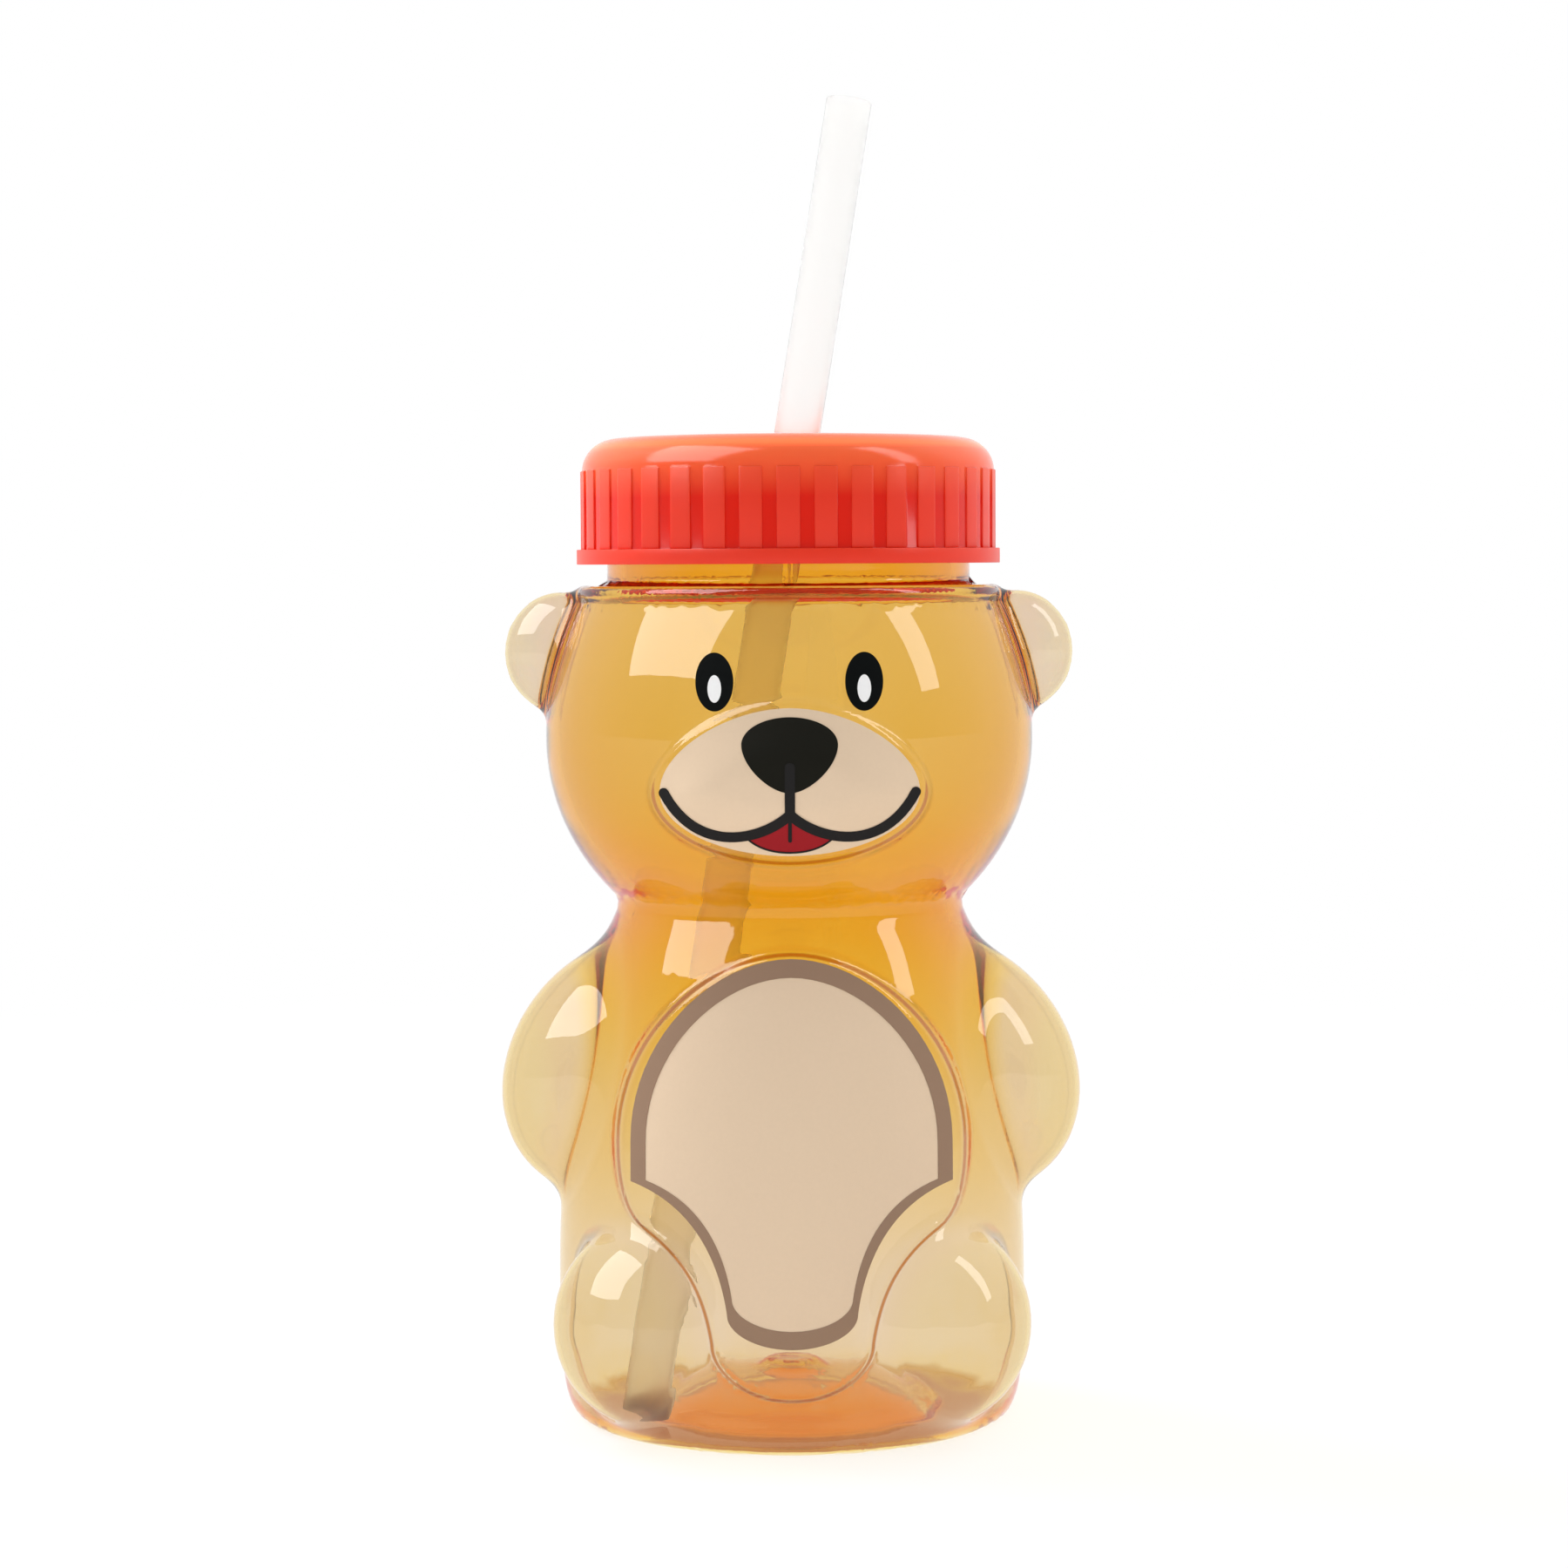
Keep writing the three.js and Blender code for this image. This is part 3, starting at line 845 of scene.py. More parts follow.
@dataclass(frozen=True)
class LidPlastic:
    """Orange-red moulded plastic, frosted on its ribs, painted paler towards its top, with a painted glow
    inside its skirt.
    """

    # Painted light: pale is the lit colour of the lid's top, deep the shaded colour lower down.
    pale: Colour = (1.0, 0.15, 0.045)
    deep: Colour = (0.72, 0.010, 0.0005)
    frosted: Colour = (0.84, 0.043, 0.007)
    # Painted light: the inside of the skirt glows in this colour, though it is no lamp.
    painted_glow_colour: Colour = (1.0, 0.13, 0.02)
    # Heights over which the painted lit top takes over.
    pales: Spot = (143.0, 150.5)
    frosts: Spot = (32.08, 32.2)
    # Radii where the painted glow starts and ends.
    lights: Spot = (29.0, 29.8)
    painted_glow_ends: Spot = (30.4, 31.0)
    painted_glow_strength: float = 0.5
    shine: float = 0.34
    gloss: Spot = (0.13, 0.18)
    frost: float = 0.4
    frost_share: float = 0.5
    cloud_size: float = 9.0
    grain_size: float = 0.35
    grain_height: float = 0.006
    glow: float = 0.15
    glow_reach: Colour = (0.006, 0.0012, 0.0005)

    def material(self) -> Material:
        """The lid's material.

        Returns:
            The new material.
        """
        nodes, material = NodeSheet.of_material("lid_plastic")
        # Painted light: paler towards the top of the lid.
        smooth = nodes.mix(nodes.height(*self.pales), self.deep, self.pale)
        ribs = nodes.outwards(*self.frosts, self.frost_share)
        gloss = nodes.spread(nodes.noise(self.cloud_size), *self.gloss)
        # The painted glow, between the two radii.
        begins, ends = (nodes.outwards(*span, self.painted_glow_strength) for span in (self.lights, self.painted_glow_ends))
        skin = nodes.principled(
            Base_Color=nodes.mix(ribs, smooth, self.frosted),
            Subsurface_Weight=self.glow,
            Subsurface_Scale=1.0,
            Subsurface_Radius=self.glow_reach,
            Specular_IOR_Level=self.shine,
            Roughness=nodes.math("MULTIPLY_ADD", ribs, self.frost, gloss),
            Normal=nodes.bump(nodes.noise(self.grain_size), self.grain_height),
            Emission_Color=self.painted_glow_colour,
            Emission_Strength=nodes.math("SUBTRACT", begins, ends),
        )
        nodes.finish(skin)
        return material


@dataclass(frozen=True)
class StrawPlastic:
    """Milky white extruded plastic, with painted shade inside the bottle and a darker painted shadow at its
    foot.
    """

    pale: Colour = (0.985, 0.98, 0.97)
    # Painted shade: the straw is darker below the lid, inside the bottle.
    painted_inside_shade: Colour = (0.93, 0.91, 0.88)
    # Painted shadow at the straw's foot, where it stands on the base.
    painted_foot_shadow: Colour = (0.5, 0.38, 0.27)
    # Heights over which the painted shade inside the bottle gives way to the plain colour.
    inside_shade_span: Spot = (138.0, 144.0)
    # Heights over which the painted foot shadow gives way.
    lights: Spot = (3.0, 7.0)
    clearness: float = 0.97
    refraction: float = 1.12
    milk_reach: Colour = (0.002, 0.002, 0.002)
    gloss: Spot = (0.42, 0.5)
    streak_size: float = 6.0

    def material(self) -> Material:
        """The straw's material.

        Returns:
            The new material.
        """
        nodes, material = NodeSheet.of_material("straw_plastic")
        # Painted shade inside the bottle, then a painted shadow at the straw's foot.
        upper = nodes.mix(nodes.height(*self.inside_shade_span), self.painted_inside_shade, self.pale)
        wall = nodes.principled(
            Base_Color=nodes.mix(nodes.height(*self.lights), self.painted_foot_shadow, upper),
            Transmission_Weight=self.clearness,
            IOR=self.refraction,
            Subsurface_Weight=1.0,
            Subsurface_Scale=1.0,
            Subsurface_Radius=self.milk_reach,
            Roughness=nodes.spread(nodes.noise(self.streak_size), *self.gloss),
        )
        nodes.finish(wall)
        return material


@dataclass(frozen=True)
class Matt:
    """A matt finish with a fine grain: the inks and the gasket's silicone."""

    name: str
    colour: Colour
    fade: float = 0.985
    gloss: Spot = (0.6, 0.72)
    shine: float = 0.03
    grain_size: float = 0.6
    grain_height: float = 0.004

    def material(self) -> Material:
        """The matt material.

        Returns:
            The new material.
        """
        nodes, material = NodeSheet.of_material(self.name)
        grain = nodes.noise(self.grain_size)
        faded = tuple(part * self.fade for part in self.colour)
        skin = nodes.principled(
            Base_Color=nodes.mix(nodes.spread(grain), faded, self.colour),
            Specular_IOR_Level=self.shine,
            Roughness=nodes.spread(grain, *self.gloss),
            Normal=nodes.bump(grain, self.grain_height),
        )
        nodes.finish(skin)
        return material


# The shell


@dataclass(frozen=True)
class BasePlate:
    """One face of the base: a nub on a sloping plate, then the standing ring and the heel."""

    nub: Spot
    nub_edge: Spot
    nub_foot: Spot
    plate: tuple[Spot, Spot]
    brink: Spot
    turn: tuple[Spot, Spot]
    ring: tuple[float, float, float]
    heel_radius: float
    heel_height: float

    def profile(self, hip: Spot) -> np.ndarray:
        """The side profile from the middle of the base up to the hip.

        Args:
            hip: Radius and height where the heel ends.

        Returns:
            Rows of radius and height.
        """
        edge, drop = self.nub_edge
        inner, outer, height = self.ring
        return np.vstack(
            [
                [(0, self.nub[1])],
                bezier(self.nub, (edge, self.nub[1]), (edge, drop), self.nub_foot, steps=8),
                bezier(self.nub_foot, *self.plate, self.brink, steps=12)[1:],
                bezier(self.brink, *self.turn, (inner, height), steps=6)[1:],
                bezier((outer, height), (self.heel_radius, height), (hip[0], self.heel_height), hip),
            ]
        )


@dataclass
class BearForm:
    """The bear's smooth outside and inside, without any mesh."""

    ear: Lobe = Lobe((35.4, 0, 119.28), (8.9, 5.5, 9.4), blend=2.4, wall=0.45, pocket=True)
    arm: Lobe = Lobe((25.8, -2, 55.0), (17.7, 15.5, 21.8), blend=3.4, wall=0.68, tilt=-math.radians(38.5))
    foot: Lobe = Lobe((21.2, -23.3, 18.2), (15.0, 14.2, 15.8), blend=2.8, wall=0.6)
    base_outside: BasePlate = BasePlate(
        nub=(2.8, 7.3),
        nub_edge=(3.9, 6.15),
        nub_foot=(6.2, 5.75),
        plate=((12.6, 4.7), (19.8, 3.5)),
        brink=(21.2, 1.5),
        turn=((22.0, 0.1), (23.0, 0.0)),
        ring=(24.4, 32.2, 0.0),
        heel_radius=36.0,
        heel_height=7.0,
    )
    base_inside: BasePlate = BasePlate(
        nub=(3.2, 8.4),
        nub_edge=(4.6, 7.2),
        nub_foot=(6.6, 6.9),
        plate=((13.0, 5.8), (20.8, 4.4)),
        brink=(22.2, 2.2),
        turn=((22.8, 0.9), (23.8, 0.75)),
        ring=(25.0, 31.7, 0.75),
        heel_radius=35.5,
        heel_height=7.3,
    )
    head_middle: float = 105.98
    head_radius: float = 37.9
    head_lower: float = 35.0
    head_upper: float = 41.5
    hip_radius: float = 36.5
    hip_height: float = 21.5
    hip_rise: float = 24.0
    chest_radius: float = 32.5
    chest_drop: float = 11.0
    waist_radius: float = 27.3
    waist_height: float = 80.2
    waist_half: float = 1.5
    waist_dip: float = 0.55
    waist_flat: float = 0.3
    shoulder_radius: float = 32.8
    shoulder_height: float = 129.67
    shoulder_round: float = 1.4
    neck_radius: float = 28.2
    neck_fillet: float = 1.7
    neck_crease: float = 0.2
    neck_end: float = 151.0
    ceiling: float = 128.9
    ceiling_radii: tuple[float, float, float] = (31.2, 30.6, 29.0)
    bore: float = 25.5
    bore_fillet: Spot = (1.8, 0.3)
    bore_rise: Spot = (129.4, 130.6)
    wall_heights: tuple[float, ...] = (21.5, 30.0, 42.0, 58.0, 72.0, 80.0, 92.0, 106.0, 118.0, 126.8)
    walls: tuple[float, ...] = (0.6, 0.7, 1.12, 1.6, 2.1, 2.6, 2.1, 1.85, 1.65, 1.6)
    lattice_pitch: float = 0.4
    lattice_margin: float = 6.0
    inner_blend: float = 0.7
    web: float = 1.5
    web_blend: float = 1.2
    panel_lift: float = 0.65
    panel_edge: float = 0.55
    panel_edge_inside: float = 0.9
    muzzle_egg: Egg = Egg(20.3, -17.2, -6.6, 6.9, high=0.48)
    muzzle_step: float = 0.5
    muzzle_bulge: float = 2.6
    muzzle_slope: float = 9.0
    # Height above which the painted shade on the muzzle's edge fades out.
    muzzle_shade_end: float = 99.0
    thread_radius: float = 28.4
    thread_ridge: float = 1.1
    thread_start: float = 138.02
    thread_pitch: float = 4.5
    thread_turns: float = 1.5
    thread_blend: float = 0.8
    thread_taper: float = 0.08
    thread_far: float = 9.0
    bead_half_width: float = 0.45
    bead_heights: Spot = (130.4, 133.4)
    pad_lift: float = 0.07
    pad_edge: float = 1.4
    pads: tuple[tuple[float, float, float, float], ...] = (
        (25.0, 13.6, 4.4, 3.3),
        (31.2, 18.9, 1.2, 1.9),
        (28.8, 22.9, 1.2, 2.0),
        (25.0, 23.8, 1.2, 2.0),
        (21.4, 22.0, 1.2, 1.9),
    )
    front_start: float = -60.0
    front_step: float = 0.9
    front_rounds: int = 60

    def __post_init__(self) -> None:
        """Makes the lobes and measures the round forms, the panel and the muzzle's raised edge."""
        self.lobes = [lobe.on(side) for side in Side for lobe in (self.ear, self.arm, self.foot)]
        pitch, margin = self.lattice_pitch, self.lattice_margin
        self.round_outside = FlatShape(mirrored(self.outer_profile()), pitch, margin, left=-2 * pitch)
        self.round_inside = FlatShape(mirrored(self.inner_profile()), pitch, margin, left=-2 * pitch)
        self.panel = FlatShape(Bib.panel().outline(), pitch, margin)
        self.muzzle = FlatShape(self.muzzle_egg.outline() + (0, self.head_middle), pitch, margin)

    def side_profile(self) -> np.ndarray:
        """The outside from the hips up to the shoulder.

        Returns:
            Rows of radius and height.
        """
        waist_start = -math.acos(self.waist_radius / self.head_radius)
        shoulder = math.acos(self.shoulder_radius / self.head_radius)
        low, high = (self.waist_height + sign * self.waist_half for sign in (-1, 1))
        waist, dip = self.waist_radius, self.waist_radius - self.waist_dip
        flat = self.waist_flat
        middle = (0, self.head_middle)
        hip = (self.hip_radius, self.hip_height)
        hip_handle = (self.hip_radius, self.hip_height + self.hip_rise)
        dip_handles = [(dip, self.waist_height - flat), (dip, self.waist_height + flat)]
        return np.vstack(
            [
                bezier(hip, hip_handle, (self.chest_radius, low - self.chest_drop), (waist, low)),
                bezier((waist, low), *dip_handles, (waist, high), steps=8)[1:],
                arc(middle, (self.head_radius, self.head_lower), waist_start, 0)[1:],
                arc(middle, (self.head_radius, self.head_upper), 0, shoulder)[1:],
            ]
        )

    def outer_profile(self) -> np.ndarray:
        """The round outside, from the middle of the base to above the neck.

        Returns:
            Rows of radius and height.
        """
        ledge, edge, neck = self.shoulder_height, self.shoulder_radius, self.neck_radius
        rounding, fillet, crease = self.shoulder_round, self.neck_fillet, self.neck_crease
        neck_foot = [(neck + fillet, ledge), (neck + crease, ledge)]
        neck_foot += [(neck, ledge + crease), (neck, ledge + fillet)]
        return np.vstack(
            [
                self.base_outside.profile((self.hip_radius, self.hip_height)),
                self.side_profile()[1:],
                bezier((edge, ledge - rounding), (edge, ledge), (edge - rounding, ledge), steps=8),
                bezier(*neck_foot, steps=8),
                [(neck, self.neck_end), (0, self.neck_end)],
            ]
        )

    def inner_profile(self) -> np.ndarray:
        """The round inside, from the middle of the floor to above the neck.

        Returns:
            Rows of radius and height.
        """
        side = self.side_profile()
        along = np.gradient(side, axis=0)
        along /= np.linalg.norm(along, axis=1)[:, None]
        wall = np.interp(side[:, 1], self.wall_heights, self.walls)
        side = side + wall[:, None] * np.column_stack([-along[:, 1], along[:, 0]])
        bore, ceiling = self.bore, self.ceiling
        bore_foot = [(bore + fillet, ceiling) for fillet in self.bore_fillet]
        bore_foot += [(bore, height) for height in self.bore_rise]
        return np.vstack(
            [
                self.base_inside.profile(tuple(side[0])),
                side[1:-1],
                bezier(tuple(side[-1]), *((radius, ceiling) for radius in self.ceiling_radii), steps=10),
                bezier(*bore_foot, steps=8),
                [(bore, self.neck_end), (0, self.neck_end)],
            ]
        )

    def panel_rise(self, points: np.ndarray, edge: float) -> np.ndarray:
        """How far the tummy panel lifts the front."""
        inside = soft_step(-self.panel.facing(points) / edge)
        return self.panel_lift * inside * (points[:, 1] < 0)

    def muzzle_rise(self, points: np.ndarray, edge: float) -> np.ndarray:
        """How far the muzzle lifts the front: a low step at its edge and a broad bulge within it.

        Args:
            points: Points in the bottle's frame.
            edge: Half of the step's width.

        Returns:
            One height for each point.
        """
        depth = -self.muzzle.facing(points)
        rise = self.muzzle_step * soft_step(depth / edge)
        rise += self.muzzle_bulge * soft_step(2 * depth / self.muzzle_slope - 1)
        return rise * (points[:, 1] < 0)

    def pad_rise(self, points: np.ndarray) -> np.ndarray:
        """How far the paw pads lift the fronts of the feet.

        Args:
            points: Points in the bottle's frame.

        Returns:
            One height for each point.
        """
        rise = np.zeros(len(points))
        for across, up, half_width, half_height in self.pads:
            aside = (np.abs(points[:, 0]) - across) / half_width
            above = (points[:, 2] - up) / half_height
            rise += soft_step((1 - np.hypot(aside, above)) * half_width / self.pad_edge)
        return self.pad_lift * rise * (points[:, 1] < 0)

    def thread(self, points: np.ndarray) -> np.ndarray:
        """Distance to the neck's right-hand thread ridge.

        Args:
            points: Points in the bottle's frame.

        Returns:
            One distance for each point, negative inside.
        """
        turn = np.arctan2(points[:, 1], points[:, 0]) / FULL_TURN % 1
        radius = np.hypot(points[:, 0], points[:, 1])
        nearest = np.full(len(points), self.thread_far)
        for whole in range(math.ceil(self.thread_turns)):
            share = turn + whole
            left = np.minimum(share, self.thread_turns - share)
            ridge = self.thread_ridge * np.sqrt(np.clip(left / self.thread_taper, 0, 1))
            height = self.thread_start + self.thread_pitch * share
            gap = np.hypot(radius - self.thread_radius, points[:, 2] - height)
            nearest = np.minimum(nearest, np.where(left > 0, gap - ridge, np.inf))
        return nearest

    def bead(self, points: np.ndarray) -> np.ndarray:
        """Distance to the small upright bead at the front of the neck.

        Args:
            points: Points in the bottle's frame.

        Returns:
            One distance for each point, negative inside.
        """
        height = np.clip(points[:, 2], *self.bead_heights)
        middle = np.column_stack([0 * height, 0 * height - self.neck_radius, height])
        return np.linalg.norm(points - middle, axis=1) - self.bead_half_width

    def outside(self, points: np.ndarray) -> np.ndarray:
        """Distance to the finished outside.

        Args:
            points: Points in the bottle's frame.

        Returns:
            One distance for each point, negative inside.
        """
        value = self.round_outside.around(points)
        for lobe in self.lobes:
            value = soft_union(value, lobe.distance(points), lobe.blend)
        value = value - self.panel_rise(points, self.panel_edge) - self.pad_rise(points)
        value = value - self.muzzle_rise(points, self.panel_edge)
        value = soft_union(value, self.thread(points), self.thread_blend)
        return soft_union(value, self.bead(points), self.bead_half_width)

    def inside(self, points: np.ndarray) -> np.ndarray:
        """Distance to the finished inside, which is rounder than the outside.

        Args:
            points: Points in the bottle's frame.

        Returns:
            One distance for each point, negative inside.
        """
        value = self.round_inside.around(points)
        for lobe in self.lobes:
            if not lobe.pocket:
                value = soft_union(value, lobe.distance(points, lobe.wall), lobe.blend + self.inner_blend)
        value = value - self.muzzle_rise(points, self.panel_edge_inside)
        return value - self.panel_rise(points, self.panel_edge_inside)

    def pocket(self, lobe: Lobe) -> Field:
        """Distance to the hollow of a lobe that a web of the head's wall closes off.

        Args:
            lobe: The lobe.

        Returns:
            The hollow's distance, which takes points.
        """

        def hollow(points: np.ndarray) -> np.ndarray:
            beyond = self.round_inside.around(points) - self.web
            return -soft_union(-lobe.distance(points, lobe.wall), beyond, self.web_blend)

        return hollow

    def front(self, spots: np.ndarray, lift: float) -> np.ndarray:
        """Places on the front of the bear, lifted a little off its surface, from across and up.

        Args:
            spots: Rows of across and up.
            lift: Distance off the surface.

        Returns:
            One place for each spot, in the bottle's frame.
        """
        places = np.column_stack([spots[:, 0], np.full(len(spots), self.front_start), spots[:, 1]])
        for _ in range(self.front_rounds):
            places[:, 1] += self.front_step * (self.outside(places) - lift)
        return places


@dataclass(frozen=True)
class Bib:
    """A bib outline: a round top, two corners and a narrow round tail that hangs between the feet."""

    half_width: float
    middle: float
    top: float
    corner: Spot
    tail: Spot
    bottom: float
    dip: float
    lift: float = 2.3
    lean: float = 0.9
    round_share: float = 0.55
    crown_share: float = 0.48
    tail_share: float = 0.36
    corner_share: float = 0.29

    @classmethod
    def panel(cls) -> Bib:
        """The raised tummy panel."""
        return cls(26.2, 46.2, 74.8, (21.9, 33.7), (12.0, 17.5), 9.0, dip=4.2)

    @classmethod
    def border(cls) -> Bib:
        """The outside of the tummy print."""
        return cls(24.15, 46.6, 74.2, (24.15, 40.6), (9.7, 21.9), 16.9, dip=2.5)

    @classmethod
    def patch(cls) -> Bib:
        """The inside of the tummy print."""
        return cls(21.9, 46.6, 71.5, (21.9, 41.0), (9.0, 24.3), 19.6, dip=2.5)

    def outline(self) -> np.ndarray:
        """The whole outline, from the bottom up the right side and down the left side.

        Returns:
            One row of across and up for each point.
        """
        tail_x, tail_z = self.tail
        corner_x, corner_z = self.corner
        share = self.round_share
        tail_low = tail_z - share * (tail_z - self.bottom)
        low_handle = (tail_x + self.lean, tail_z + self.tail_share * (corner_z - tail_z))
        high_handle = (tail_x + self.corner_share * (corner_x - tail_x), corner_z - self.dip)
        side = (self.half_width, self.middle)
        shoulder = (self.half_width, self.middle + share * (self.top - self.middle))
        crown = (self.half_width * self.crown_share, self.top)
        right = np.vstack(
            [
                bezier((0, self.bottom), (tail_x * share, self.bottom), (tail_x, tail_low), self.tail),
                bezier(self.tail, low_handle, high_handle, self.corner)[1:],
                bezier(self.corner, (self.half_width, corner_z + self.lift), side, steps=8)[1:],
                bezier(side, shoulder, crown, (0, self.top))[1:],
            ]
        )
        return mirrored(right)


@dataclass
class BottleShell:
    """The blown amber shell with a wall of uneven thickness."""

    form: BearForm
    outer_grid: float = 1.6
    inner_grid: float = 1.75
    pocket_grid: float = 0.7
    pocket_rounds: int = 24
    relax_share: float = 0.5
    spin_steps: int = 120
    outer_edge_reach: float = 1.2
    inner_edge_reach: float = 1.5
    thread_reach: float = 1.2
    crease_reach: float = 1.4
    ring_radii: Spot = (19.5, 26.0)
    ring_top: float = 4.0
    shoulder_span: Spot = (127.0, 134.0)
    skin_gap: float = 0.2
    far: float = 5.0
    edge_shade_fade: float = 0.1
    normal_reach: float = 0.4

    def cast(self, name: str, pieces: list[Piece], grid: float, surface: Field, rounds: int = 6) -> Piece:
        """One skin of the shell: plain forms melted together and settled on a smooth form.

        Args:
            name: The skin's name.
            pieces: The plain forms.
            grid: Spacing of its mesh.
            surface: The smooth form.
            rounds: How often the mesh is moved towards the smooth form.

        Returns:
            The skin, closed.
        """
        skin = join(name, pieces)
        apply_modifier(skin, "REMESH", mode="VOXEL", voxel_size=grid * MM)
        write_corners(skin, settle(read_corners(skin), surface, rounds))
        for _ in range(2):
            self.relax(skin, surface)
        return skin

    def relax(self, skin: Piece, surface: Field) -> None:
        """Evens out the mesh and settles it again.

        Args:
            skin: The skin.
            surface: The smooth form that it lies on.
        """
        with editing(skin, Pick.CORNERS, "SELECT"):
            bpy.ops.mesh.vertices_smooth(factor=self.relax_share, repeat=2)
        write_corners(skin, settle(read_corners(skin), surface, rounds=3))

    def refine(self, skin: Piece, surface: Field, chosen: np.ndarray, cuts: int) -> None:
        """Makes the mesh finer where it is chosen and settles it again.

        Args:
            skin: The skin.
            surface: The smooth form that it lies on.
            chosen: True for each face that is cut.
            cuts: How many cuts an edge gets.
        """
        choose_faces(skin, chosen)
        with editing(skin):
            bpy.ops.mesh.subdivide(number_cuts=cuts)
        write_corners(skin, settle(read_corners(skin), surface, rounds=5))

    def near_edges(self, middles: np.ndarray, reach: float) -> np.ndarray:
        """Which places lie near the panel's edge or the muzzle's edge.

        Args:
            middles: Middles of faces, in the bottle's frame.
            reach: How near.

        Returns:
            True for each place that does.
        """
        shapes = (self.form.panel, self.form.muzzle)
        near = [np.abs(shape.facing(middles)) < reach for shape in shapes]
        return (middles[:, 1] < 0) & np.any(near, axis=0)

    def near_details(self, middles: np.ndarray) -> np.ndarray:
        """Which places lie on the paw pads, the shoulder, the foot of the neck or the thread."""
        pads = self.form.pad_rise(middles) > 0
        return pads | self.near_shoulder(middles) | (self.form.thread(middles) < self.thread_reach)

    def near_creases(self, middles: np.ndarray, shrink: bool) -> np.ndarray:
        """Which places lie in the creases where the lobes run into the body.

        Args:
            middles: Middles of faces, in the bottle's frame.
            shrink: Whether the inside is meant.

        Returns:
            True for each place that does.
        """
        form = self.form
        body = (form.round_inside if shrink else form.round_outside).around(middles)
        chosen = np.zeros(len(middles), bool)
        for lobe in form.lobes:
            gap = lobe.distance(middles, lobe.wall if shrink else 0.0) - body
            chosen |= (np.abs(gap) < self.crease_reach * lobe.blend) & (np.abs(body) < lobe.blend)
        return chosen

    def near_ring(self, middles: np.ndarray) -> np.ndarray:
        """Which places lie where the base's plate turns into its standing ring.

        Args:
            middles: Middles of faces, in the bottle's frame.

        Returns:
            True for each place that does.
        """
        inner, outer = self.ring_radii
        radius = np.hypot(middles[:, 0], middles[:, 1])
        return (radius > inner) & (radius < outer) & (middles[:, 2] < self.ring_top)

    def near_shoulder(self, middles: np.ndarray) -> np.ndarray:
        """Which places lie on the shoulder or the foot of the neck."""
        low, high = self.shoulder_span
        return (middles[:, 2] > low) & (middles[:, 2] < high)

    def open_top(self, skin: Piece, rim: float) -> None:
        """Cuts a skin off at the rim."""
        with editing(skin, select="SELECT"):
            bpy.ops.mesh.bisect(plane_co=(0, 0, rim * MM), plane_no=(0, 0, 1), clear_outer=True)

    def outer_skin(self) -> Piece:
        """The outside, finer where it has fine forms.

        Returns:
            The skin, still closed at the top.
        """
        form = self.form
        pieces = [spun("bottle_outside", form.outer_profile(), self.spin_steps, closed=False)]
        pieces += [lobe.ball(0) for lobe in form.lobes]
        skin = self.cast("bottle_outside", pieces, self.outer_grid, form.outside)
        self.refine(skin, form.outside, self.near_creases(face_middles(skin), shrink=False), cuts=1)
        middles = face_middles(skin)
        chosen = self.near_edges(middles, self.outer_edge_reach)
        chosen |= self.near_details(middles) | self.near_ring(middles)
        self.refine(skin, form.outside, chosen, cuts=2)
        return skin

    def inner_skin(self) -> Piece:
        """The inside, finer at the edges, the shoulder, the creases and the standing ring.

        Returns:
            The skin, still closed at the top.
        """
        form = self.form
        pieces = [spun("bottle_inside", form.inner_profile(), self.spin_steps, closed=False)]
        pieces += [lobe.ball(lobe.wall) for lobe in form.lobes if not lobe.pocket]
        skin = self.cast("bottle_inside", pieces, self.inner_grid, form.inside)
        middles = face_middles(skin)
        chosen = self.near_edges(middles, self.inner_edge_reach)
        chosen |= self.near_shoulder(middles) | self.near_creases(middles, shrink=True)
        self.refine(skin, form.inside, chosen, cuts=1)
        self.refine(skin, form.inside, self.near_ring(face_middles(skin)), cuts=2)
        return skin

    def ear_hollows(self) -> list[Piece]:
        """The closed hollows of the ears.

        Returns:
            One hollow for each ear.
        """
        hollows = []
        for lobe in self.form.lobes:
            if lobe.pocket:
                ball, surface = lobe.ball(lobe.wall), self.form.pocket(lobe)
                hollows.append(self.cast("ear_hollow", [ball], self.pocket_grid, surface, self.pocket_rounds))
        return hollows

    def build(self) -> Piece:
        """All skins, joined by the rim of the neck.

        Returns:
            The shell.
        """
        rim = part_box("bottle_shell")[1].z / MM
        outer, inner, hollows = self.outer_skin(), self.inner_skin(), self.ear_hollows()
        for skin in (outer, inner):
            self.open_top(skin, rim)
        for skin in (inner, *hollows):
            with editing(skin, select="SELECT"):
                bpy.ops.mesh.flip_normals()
        shell = join("bottle_wall", [outer, inner, *hollows])
        with editing(shell, Pick.EDGES, "DESELECT"):
            bpy.ops.mesh.select_non_manifold(extend=False, use_wire=False, use_multi_face=False)
            bpy.ops.mesh.bridge_edge_loops()
        make_active(shell)
        bpy.ops.object.shade_smooth()
        self.mark_edges(shell)
        self.even_normals(shell)
        return shell

    def even_normals(self, shell: Piece) -> None:
        """Takes the shading from the smooth forms, so that light bends evenly in the wall.

        Args:
            shell: The joined shell.
        """
        form = self.form
        points = read_corners(shell)
        skins: list[tuple[Field, int]] = [(form.outside, 1), (form.inside, -1)]
        skins += [(form.pocket(lobe), -1) for lobe in form.lobes if lobe.pocket]
        nearest = np.full(len(points), np.inf)
        normals = np.zeros_like(points)
        for surface, sign in skins:
            gap = np.abs(surface(points))
            chosen = gap < nearest
            nearest[chosen] = gap[chosen]
            normals[chosen] = sign * slope(surface, points[chosen], self.normal_reach)
        normals /= np.linalg.norm(normals, axis=1)[:, None]
        shell.data.normals_split_custom_set_from_vertices(normals)

